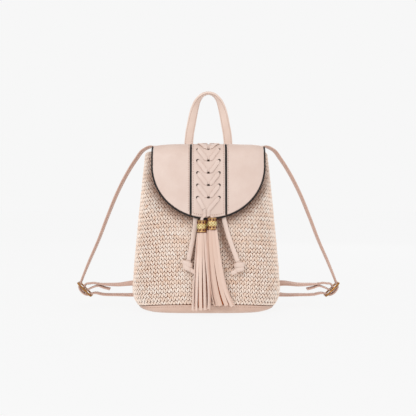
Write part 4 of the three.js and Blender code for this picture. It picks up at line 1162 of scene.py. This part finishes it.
def lace(name, side):
    """A flat lace: out through a side hole, down across the front to the next centre hole, and back behind
    the leather to the side, row after row, then over the flap's edge into a tassel's head."""
    over = LACE_GAP + LACE_THICKNESS / 2
    under = -LEATHER - LACE_GAP - LACE_THICKNESS / 2
    edge = side * LACE_SPREAD / 2
    shallow, clear = LACE_HOLE * 0.17, LACE_HOLE * 0.68
    narrow = LACE_WIDTH * 0.55
    meeting = np.array([-0.003 + side * 0.0034, FLAP_LENGTH - 0.015])
    level = np.array([0.0, 1.0])
    places = []

    def put(spot, lift, lean, width):
        places.append((*spot, lift, *lean, width))

    put((edge - side * LACE_WIDTH, lace_row(0)), under, level, LACE_WIDTH)
    for row in range(LACE_ROWS):
        last = row == LACE_ROWS - 1
        start = np.array([edge, lace_row(row)])
        end = meeting if last else np.array([side * LACE_SLOT / 4, lace_row(row + 1)])
        run = unit(end - start)
        across = np.array([run[1], -run[0]]) * side
        between = unit(across + level)
        inward, outward = np.array([-side, 0.0]), np.array([side, 0.0])
        put(start + inward * shallow, under, between, narrow)
        put(start + run * shallow, over, between, narrow)
        put(start + run * clear, over, across, LACE_WIDTH)
        for share in (0.35, 0.65):
            put(start + (end - start) * share, over + 0.0003, across, LACE_WIDTH)
        put(end - run * clear, over, across, LACE_WIDTH)
        if last:
            break
        put(end - run * shallow, over, between, narrow)
        put(end + outward * shallow, under, between, narrow)
        put(end + outward * clear, under, level, LACE_WIDTH)
        put(np.array([edge, lace_row(row + 1)]) + inward * clear, under, level, LACE_WIDTH)
    put(meeting, over, np.array([side, 0.0]) * side, LACE_WIDTH * 0.8)
    read = route(places, 460)
    x, along, lift = read[:, 0], read[:, 1], read[:, 2]
    points = flap_point(x, along, lift)
    lean = unit(read[:, 3:5]) * 0.001
    across = unit(flap_point(x + lean[:, 0], along + lean[:, 1], lift) - points)
    tassel = TASSELS[name]
    top = TIP_Z + tassel["hang"] + GAP
    rim = flap_point(np.array(meeting[0]), np.array(FLAP_LENGTH - 0.005), over + GAP)
    entry = (tassel["middle"], TASSEL_Y + 0.001, max(top + 0.002, rim[2] - 0.005))
    fall = route([points[-1], rim, entry, (tassel["middle"], TASSEL_Y, top)], 40)[1:]
    across = np.concatenate([across, np.tile(RIGHT, (len(fall), 1))])
    width = np.concatenate([read[:, 5], np.linspace(LACE_WIDTH * 0.8, LACE_WIDTH * 0.75, len(fall))])
    path = np.concatenate([points, fall])
    piece = strap_piece(f"flat_lace_{name}", path, across, width, LACE_THICKNESS, sides=14, power=3.6)
    finish_piece(piece, FLAP_LEATHER, "leather", f"lace_{name}")


lace("left", -1)
lace("right", 1)


# Tassels


def cuff_foot(sizes):
    """The middle of a cuff's lower rim."""
    return np.array([sizes["middle"], TASSEL_Y, TIP_Z + sizes["hang"] - CUFF_HEIGHT])


def cuff(name, sizes):
    """A plated cuff: a turned band whose radius swells at two rolled rims and two rails, with a net of
    crossed wires round its middle, a row of garnet beads above and below the net, and a garnet trim."""
    centre = cuff_foot(sizes)
    rise = np.linspace(0, 1, 60)
    rolled = bell(rise, 0, 0.045) + bell(rise, 1, 0.045)
    rails = bell(rise, 0.3, 0.025) + bell(rise, 0.7, 0.025)
    radius = CUFF_RADIUS - 0.0009 + 0.0009 * np.minimum(rolled, 1) + 0.0004 * rails
    outer = turned(radius, rise * CUFF_HEIGHT, 120)
    inner = turned(np.full(3, CUFF_RADIUS - 0.0012), rise[::-20] * CUFF_HEIGHT, 120)
    rings = np.concatenate([outer, inner]) + centre
    band = new_piece(f"cuff_band_{name}", rings, *tubes(1, len(rings), 120, True))
    finish_piece(band, CUFF_GOLD, "gold", f"cuff_{name}")
    steps = np.linspace(0, 1, 14)
    parts, weaves = [], []
    for way in (-1, 1):
        for angle in np.arange(CUFF_WIRES) * 2 * math.pi / CUFF_WIRES:
            spiral = angle + way * steps * 2 * math.pi / CUFF_WIRES * 1.5
            wave = CUFF_RADIUS - 0.0005 + 0.00015 * np.cos(steps * 3 * math.pi + way)
            height = (0.33 + 0.34 * steps) * CUFF_HEIGHT
            path = np.stack([wave * np.cos(spiral), wave * np.sin(spiral), height], axis=1) + centre
            ring, weave = carried(path, UP + 0.01, 0.0009, 0.0009, sides=6, power=2)
            parts.append(ring)
            weaves.append(weave)
    values = {"run": np.concatenate(weaves)}
    net = new_piece(f"cuff_net_{name}", np.stack(parts), *tubes(len(parts), 14, 6), values)
    finish_piece(net, NET_GOLD, "gold")
    spots, outs = [], []
    for share in (0.17, 0.83):
        angle = (np.arange(CUFF_BEADS) + 3 * share) * 2 * math.pi / CUFF_BEADS
        out = np.stack([np.cos(angle), np.sin(angle), 0 * angle], axis=1)
        spots.append(out * (CUFF_RADIUS - 0.0006) + centre + UP * share * CUFF_HEIGHT)
        outs.append(out)
    spots, outs = np.concatenate(spots), np.concatenate(outs)
    beads = threads(f"cuff_beads_{name}", spots, np.cross(outs, UP), outs, 0.0034, 0.003, 0.0011)
    finish_piece(beads, GARNET, "gold")
    trim = turned(np.array([CUFF_RADIUS]), np.array([-0.0002]), 120)[0] + centre
    line = strap_piece(f"cuff_trim_{name}", trim, UP, 0.0012, 0.0012, sides=8, power=2, looped=True)
    finish_piece(line, GARNET, "gold")


def strip_path(sizes, angle, ring, pick):
    """Path of one cut strip and the direction of its width. It leaves the head at an angle of an ellipse,
    spreads and drifts as it falls, and turns a little on itself. ring shares out how far from the middle
    it falls: 1 is outermost."""
    drop = np.concatenate([[-0.1], np.linspace(-0.02, 1, 29)])
    middle, depth, low = cuff_foot(sizes)
    length = (low - sizes["end"]) * (1 - pick.uniform(0, 0.03) - (0.03 if ring < 0.6 else 0))
    fall = np.clip(drop, 0, 1)
    head, mouth, flare = CUFF_RADIUS - 0.0028, CUFF_RADIUS + 0.0002, sizes["flare"] - 0.0004
    belly = mouth + (flare - mouth) * 0.5
    reach = np.interp(drop, [-0.02, 0.016, 0.1, 0.5, 1], [head, mouth - 0.0006, mouth + 0.0006, belly, flare])
    reach_back = np.interp(drop, [-0.02, 0.016, 1], [head, mouth - 0.0006, CUFF_RADIUS - 0.001])
    drift = 0.62 * fall**1.4 + 0.38 * fall**4
    sway = pick.normal(0, 0.0006) * np.sin(fall * pick.uniform(3, 6) + pick.uniform(0, 6)) * fall
    curl = 0.004 * max(math.cos(angle), 0) * fall**5 * math.copysign(1, sizes["drift"] - 0.01)
    wide = reach * math.cos(angle) * ring
    deep = reach_back * math.sin(angle) * ring
    x = middle + sizes["drift"] * drift + wide + sway + curl
    path = np.stack([x, depth + deep + 0.4 * sway, low - length * drop], axis=1)
    facing = math.atan2(0.75 * math.cos(angle), -math.sin(angle))
    twist = facing + pick.normal(0, 0.3) + pick.normal(0, 0.4) * fall**1.3
    return path, np.stack([np.cos(twist), np.sin(twist), 0 * twist], axis=1), fall


def strip_piece(name, strips, material, nodes=(), shade_tone=0.0):
    """Strips of one tassel joined in one mesh, each a thin flat section carried down its path. A strip is
    its path, the direction of its width, its way down, its greatest width and its painted shade."""
    parts, weaves, tones, shades = [], [], [], []
    for index, (path, across, fall, widest, burnish) in enumerate(strips):
        width = np.interp(fall, [0, 0.3, 1], [0.74, 0.93, 1]) * widest
        rings, weave = carried(path, across, width, STRIP_THICKNESS, sides=10, power=5)
        parts.append(rings)
        weaves.append(weave + (0.3 * index, 0, 0))
        # Each strip's tone: random, plus the tassel's painted shade
        tones.append(np.full(len(weave), shade_tone + index * 0.618 % 1))
        shades.append(np.full(len(weave), burnish))
    values = {"run": weaves, "tone": tones, "burnish": shades}
    values = {key: np.concatenate(value) for key, value in values.items()}
    piece = new_piece(name, np.stack(parts), *tubes(len(parts), len(parts[0]), 10), values)
    finish_piece(piece, material, "leather", *nodes)


def tassel(name, sizes, seed):
    """A tassel: a head inside its cuff, strips of smooth leather round the outside, set in and out by turns,
    and inner ones of a dark brown that is painted shade, seen in the gaps."""
    pick = np.random.default_rng(seed)
    outer, inner = [], []
    for index in range(STRIPS):
        angle = (index + 0.5 + pick.normal(0, 0.12)) * 2 * math.pi / STRIPS
        ring = 1 - 0.13 * (index % 2)
        # Painted shade on the strips that face the other tassel
        burnish = 0.9 * max(0, sizes["beside"] * math.cos(angle)) ** 8
        strip = strip_path(sizes, angle, ring, pick)
        outer.append((*strip, STRIP_WIDTH * pick.uniform(0.92, 1.12), burnish))
    for index in range(INNER_STRIPS):
        angle = (index + pick.normal(0, 0.1)) * 2 * math.pi / INNER_STRIPS
        inner.append((*strip_path(sizes, angle, 0.5, pick), INNER_STRIP_WIDTH, 0))
    strip_piece(f"tassel_strips_{name}", outer, TASSEL_LEATHER, (f"tassel_{name}",), sizes["shade_tone"])
    strip_piece(f"tassel_inner_strips_{name}", inner, INNER_STRIP_SHADE_LEATHER)
    rise = np.array([-0.03, -0.02, 0, 0.25, 0.5, 0.75, 0.95, 0.985, 0.985])
    reach = np.array([0.3, 0.8, 1, 1, 1, 1, 1, 0.92, 0.3]) * (CUFF_RADIUS - 0.0015)
    rings = turned(reach, rise * CUFF_HEIGHT, 64) + cuff_foot(sizes)
    head = new_piece(f"tassel_head_{name}", rings, *tubes(1, 9, 64), {"run": rings.reshape(-1, 3)})
    finish_piece(head, TASSEL_LEATHER, "leather")


for seed, (name, sizes) in enumerate(TASSELS.items()):
    cuff(name, sizes)
    tassel(name, sizes, 21 + seed)


# Carry handle


def handle():
    """The carry handle: a padded strap whose section turns from facing the front at its feet to lying flat
    at the top, through a table of shares of its half span and rise."""
    half = HANDLE_SPAN / 2
    foot = back_face(BACK_HEM_Z) + GAP + HANDLE_THICKNESS / 2
    rows = [(-out, up, turn) for out, up, turn in HANDLE_SECTIONS]
    rows += [(out, up, turn) for out, up, turn in HANDLE_SECTIONS[-2::-1]]
    places = [(FLAP_SHIFT + half * out, foot, CROWN + HANDLE_RISE * up, turn) for out, up, turn in rows]
    read = route(places, 220)
    points, turn = read[:, :3], np.radians(read[:, 3])[:, None]
    across = BACK * np.cos(turn) + unit(np.cross(BACK, tangents(points))) * np.sin(turn)
    piece = strap_piece(
        "carry_handle", points, across, HANDLE_WIDTH, HANDLE_THICKNESS, sides=32, power=3.2, groove=0.16
    )
    finish_piece(piece, HANDLE_LEATHER, "leather", "top_handle")
    sew_edges("handle_stitches", points, across, HANDLE_WIDTH * 0.36, HANDLE_THICKNESS * 0.41)


def sew_edges(name, points, across, spread, lift, both=True):
    """Two lines of stitches beside a strap's edges, on its outer face and, if both, on its inner one."""
    out = unit(np.cross(tangents(points), across))
    lines = [
        (points + across * side * spread + out * face * lift, out * face)
        for face in ((1, -1) if both else (1,))
        for side in (-1, 1)
    ]
    sew(name, lines, 0.0033, 0.0006, 0.002)


handle()


# Shoulder straps


SLIDE_X = BODY_WIDTH / 2 + STRAP_REACH
FOLD = WIRE / 2 + GAP + STRAP / 2
RING_ACROSS = np.array([0, math.cos(RING_TILT), math.sin(RING_TILT)])
RING_OVER = np.array([0, -math.sin(RING_TILT), math.cos(RING_TILT)])
RING_BAR = np.array([-RING_SPREAD / 2, body_back(RING_SPREAD / 2, RING_LIFT) + RING_STANDOFF, RING_LIFT])
TAB_BAR = RING_BAR + (RING_PITCH, 0, 0)
TAIL_X = -SLIDE_X + 0.0229  # where the strap's tail is sewn to the strap
TAIL_Z = SLIDE_LIFT + 0.0092


def slide_place(p, q):
    """A place in the slide's own frame: p along it towards the body and down, q out of it and up."""
    return np.array([
        -SLIDE_X + p * math.cos(SLIDE_TILT) + q * math.sin(SLIDE_TILT),
        STRAP_Y,
        SLIDE_LIFT - p * math.sin(SLIDE_TILT) + q * math.cos(SLIDE_TILT),
    ])


def left_strap():
    """Places of the left strap, each a point and the direction of its width: sewn under the flap's corner,
    out and down to the slide, round it, in to the ring, round that, back to the slide and sewn to itself."""

    def leaning(degrees):
        return (0.0, math.cos(math.radians(degrees)), math.sin(math.radians(degrees)))

    def sewn_depth(x, z):
        fall = corner_fall(abs(x) - FLAP_SHIFT, z)
        return back_face(z) - BACK_HUG * fall + 2 * GAP + STRAP / 2

    corner = (-FLAP_HALF - STRAP_CORNER, STRAP_Y, CROWN + STRAP_LIFT)
    arc_end = slide_place(-SLIDE_PITCH * 0.98, SLIDE_PITCH * 0.44)
    places = []
    for x, drop in ((-0.046, -0.029), (-0.058, -0.0215)):
        places.append((x, sewn_depth(x, CROWN + drop), CROWN + drop, 0.5, -0.05, 0.86))
    places += [
        (-0.07, STRAP_Y + 0.0035, CROWN - 0.012, 0.45, 0.5, 0.74),
        (-0.083, STRAP_Y + 0.003, CROWN - 0.003, 0.3, 0.85, 0.4),
    ]
    for i, (out, up) in enumerate(STRAP_ARC):
        skew = math.radians(20 - 2 * i)
        x = corner[0] + (arc_end[0] - corner[0]) * out
        z = arc_end[2] + (corner[2] - arc_end[2]) * up
        places.append((x, STRAP_Y, z, math.sin(skew), math.cos(skew), 0.0))
    slot = SLIDE_PITCH - FOLD
    under = FOLD + STRAP + GAP
    half_turn = np.radians(np.linspace(0, 180, 7))
    for turn in half_turn:
        places.append((*slide_place(-slot * math.cos(turn), -under * math.sin(turn)), *BACK))
    bar_x, bar_y = RING_BAR[0], RING_BAR[1]
    places += [
        (*slide_place(SLIDE_PITCH + 0.0005, 0.0068), *leaning(2)),
        (TAIL_X + 0.0075, STRAP_Y, SLIDE_LIFT - 0.0089, *leaning(5)),
        (TAIL_X + 0.034, STRAP_Y + 0.001, SLIDE_LIFT - 0.0098, *leaning(8)),
        (bar_x - 0.044, STRAP_Y + 0.004, SLIDE_LIFT - 0.0101, *leaning(14)),
        (bar_x - 0.017, bar_y - 0.001, RING_LIFT - 0.0065, *leaning(38)),
    ]
    for turn in np.radians(np.linspace(-90, 90, 7)):
        at = RING_BAR + RIGHT * FOLD * math.cos(turn) + RING_OVER * FOLD * math.sin(turn)
        places.append((*at, *RING_ACROSS))
    places += [
        (bar_x - 0.017, bar_y - 0.0065, RING_LIFT + 0.0066, *leaning(44)),
        (bar_x - 0.044, STRAP_Y + 0.002, TAIL_Z + 0.0009, *leaning(28)),
        (TAIL_X + 0.034, STRAP_Y, TAIL_Z - 0.0013, *leaning(14)),
        (TAIL_X + 0.014, STRAP_Y, TAIL_Z - 0.0009, *leaning(7)),
        (TAIL_X, STRAP_Y, TAIL_Z, *BACK),
        (TAIL_X - 0.009, STRAP_Y, TAIL_Z + 0.0014, *BACK),
        (*slide_place(-0.0014, 0.0126), *BACK),
        (*slide_place(-0.005, 0.008), *BACK),
    ]
    for turn in half_turn:
        places.append((*slide_place(-FOLD * math.cos(turn), -FOLD * math.sin(turn)), *BACK))
    places += [
        (*slide_place(FOLD + 0.0012, 0.005), *BACK),
        (TAIL_X - 0.009, STRAP_Y, TAIL_Z - STRAP - 0.0024, *BACK),
        (TAIL_X, STRAP_Y, TAIL_Z - STRAP - GAP, *BACK),
        (TAIL_X + 0.009, STRAP_Y, TAIL_Z - STRAP - 0.003, *leaning(4)),
        (TAIL_X + 0.02, STRAP_Y, TAIL_Z - 0.009, *leaning(6)),
    ]
    return np.array(places)


def mirrored(vectors, side):
    """Left-hand directions turned to their side."""
    return vectors * (1 if side == "left" else -1, 1, 1)


def sided(points, side):
    """Left-hand places, measured from the flap's middle, moved to their side of it."""
    return mirrored(points, side) + (FLAP_SHIFT, 0, 0)


def shoulder_strap(side):
    """A shoulder strap in one length, with a stitched edge and a bar of stitches where its tail is sewn."""
    read = route(left_strap(), 640)
    points, across = sided(read[:, :3], side), unit(mirrored(read[:, 3:], side))
    piece = strap_piece(
        f"strap_leather_{side}", points, across, STRAP_WIDTH, STRAP, sides=18, power=3.4, groove=0.14
    )
    finish_piece(piece, STRAP_LEATHER, "strap_leather", f"shoulder_strap_{side}")
    sew_edges(f"strap_stitches_{side}", points, across, STRAP_WIDTH * 0.36, STRAP * 0.41, both=False)
    rows = np.linspace(-0.4, 0.4, 5) * STRAP_WIDTH
    spots = np.array([(TAIL_X, STRAP_Y + row, TAIL_Z + STRAP / 2) for row in rows])
    bar = threads(f"strap_bar_stitches_{side}", sided(spots, side), BACK, UP, 0.0024, 0.0008, 0.0004)
    finish_piece(bar, THREAD, "strap_leather")


def wire_loop(middle, long_way, short_way, half_long, half_short):
    """Points of a closed rectangle with round corners of radius 0.8 wire, in a plane of two directions."""
    bend = WIRE * 0.8
    turn = np.radians(np.linspace(0, 360, 48, endpoint=False) + 3.75)
    quadrant = (turn // (math.pi / 2)).astype(int)
    signs = np.array([[1, 1], [-1, 1], [-1, -1], [1, -1]])[quadrant]
    u = signs[:, 0] * (half_long - bend) + bend * np.cos(turn)
    v = signs[:, 1] * (half_short - bend) + bend * np.sin(turn)
    return middle + u[:, None] * long_way + v[:, None] * short_way


def buckle(name, side, middle, long_way, short_way, half_long, bar=True):
    """A wire frame, round in section, and the bar across its middle if it has one."""
    loop = sided(wire_loop(middle, long_way, short_way, half_long, HALF_BAR), side)
    normal = unit(mirrored(np.cross(long_way, short_way), side))
    piece = strap_piece(f"{name}_frame_{side}", loop, normal, WIRE, WIRE, sides=14, power=2.2, looped=True)
    finish_piece(piece, GOLD, "gold", f"strap_{name}_{side}")
    if bar:
        ends = (sided(middle + way * short_way * HALF_BAR, side) for way in (-1, 1))
        path = np.linspace(*ends, 8)
        rod = strap_piece(f"{name}_bar_{side}", path, normal, WIRE, WIRE, sides=14, power=2.0)
        finish_piece(rod, GOLD, "gold")


def ring_tab(side):
    """A leather tab: sewn flat on the body's back, out round the ring's inner bar, and back over itself."""
    turn = WIRE / 2 + 1.5 * GAP + TAB / 2

    def leaf(number):
        places = []
        for back in (TAB_LENGTH, TAB_LENGTH * 0.6):
            x = TAB_BAR[0] + back
            y = body_back(x, RING_LIFT + TAB_WIDTH / 2) + GAP + TAB / 2 + number * (TAB + GAP)
            places.append((x, y, RING_LIFT, *UP))
        return places

    around = []
    for angle in np.radians(np.linspace(90, -90, 7)):
        at = TAB_BAR - RIGHT * turn * math.cos(angle) + RING_OVER * turn * math.sin(angle)
        around.append((*at, *RING_ACROSS))
    read = route([*leaf(0), *around, *leaf(1)[::-1]], 160)
    points, across = sided(read[:, :3], side), unit(mirrored(read[:, 3:], side))
    piece = strap_piece(f"ring_tab_leather_{side}", points, across, TAB_WIDTH, TAB, sides=16, power=4)
    finish_piece(piece, STRAP_LEATHER, "strap_leather", f"ring_tab_{side}")
    x = TAB_BAR[0] + TAB_LENGTH - 0.004
    y = body_back(x, RING_LIFT + TAB_WIDTH / 2) + 2 * GAP + 2 * TAB + 0.0002
    rows = np.linspace(-0.36, 0.36, 4) * TAB_WIDTH
    spots = np.array([(x - back, y, RING_LIFT + row) for back in (0, 0.009) for row in rows])
    box = threads(f"ring_tab_stitches_{side}", sided(spots, side), UP, BACK, 0.0024, 0.0007, 0.0003)
    finish_piece(box, THREAD, "strap_leather")


HALF_BAR = (STRAP_WIDTH + STRAP_PLAY + WIRE) / 2
SLIDE_ALONG = unit(slide_place(1, 0) - slide_place(0, 0))
for name in ("left", "right"):
    shoulder_strap(name)
    buckle("slide", name, slide_place(0, 0), SLIDE_ALONG, BACK, SLIDE_PITCH)
    buckle("ring", name, (RING_BAR + TAB_BAR) / 2, RIGHT, RING_ACROSS, RING_PITCH / 2, bar=False)
    ring_tab(name)


# Studio


def studio():
    """A white floor out to the horizon, an even sky as pale as the photograph's backdrop, and soft lights."""
    edge = turned(np.array([40.0]), np.array([0.0]), 48)[0]
    mesh = bpy.data.meshes.new("studio_floor")
    mesh.from_pydata(edge.tolist(), [], [list(range(48))])
    mesh.materials.append(lit_acrylic())
    floor = bpy.data.objects.new("studio_floor", mesh)
    bpy.context.scene.collection.objects.link(floor)
    floor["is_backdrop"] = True
    world = bpy.data.worlds.new("pale_sky")
    world.use_nodes = True
    world.node_tree.nodes["Background"].inputs["Color"].default_value = linear("#F7F7F7")
    world.node_tree.nodes["Background"].inputs["Strength"].default_value = 1.0
    bpy.context.scene.world = world
    lights = [
        ("key_light", (-0.8, -1.7, 1.2), 0.6, 10.0),
        ("fill_light", (1.5, -1.5, 0.6), 1.2, 2.0),
        ("back_light", (0.6, 2.0, 1.0), 1.0, 5.0),
    ]
    for name, at, size, power in lights:
        lamp = bpy.data.lights.new(name, "AREA")
        lamp.shape = "DISK"
        lamp.size = size
        lamp.energy = power
        light = bpy.data.objects.new(name, lamp)
        light.location = at
        away = np.array(at) - (0.0, 0.0, 0.14)
        flat = math.hypot(away[0], away[1])
        light.rotation_euler = (math.atan2(flat, away[2]), 0, math.atan2(away[0], -away[1]))
        bpy.context.scene.collection.objects.link(light)
    bpy.context.scene.view_settings.view_transform = "Standard"


studio()

sizes = {"cad": cad_bounds, "visual": [list(corner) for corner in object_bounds()]}
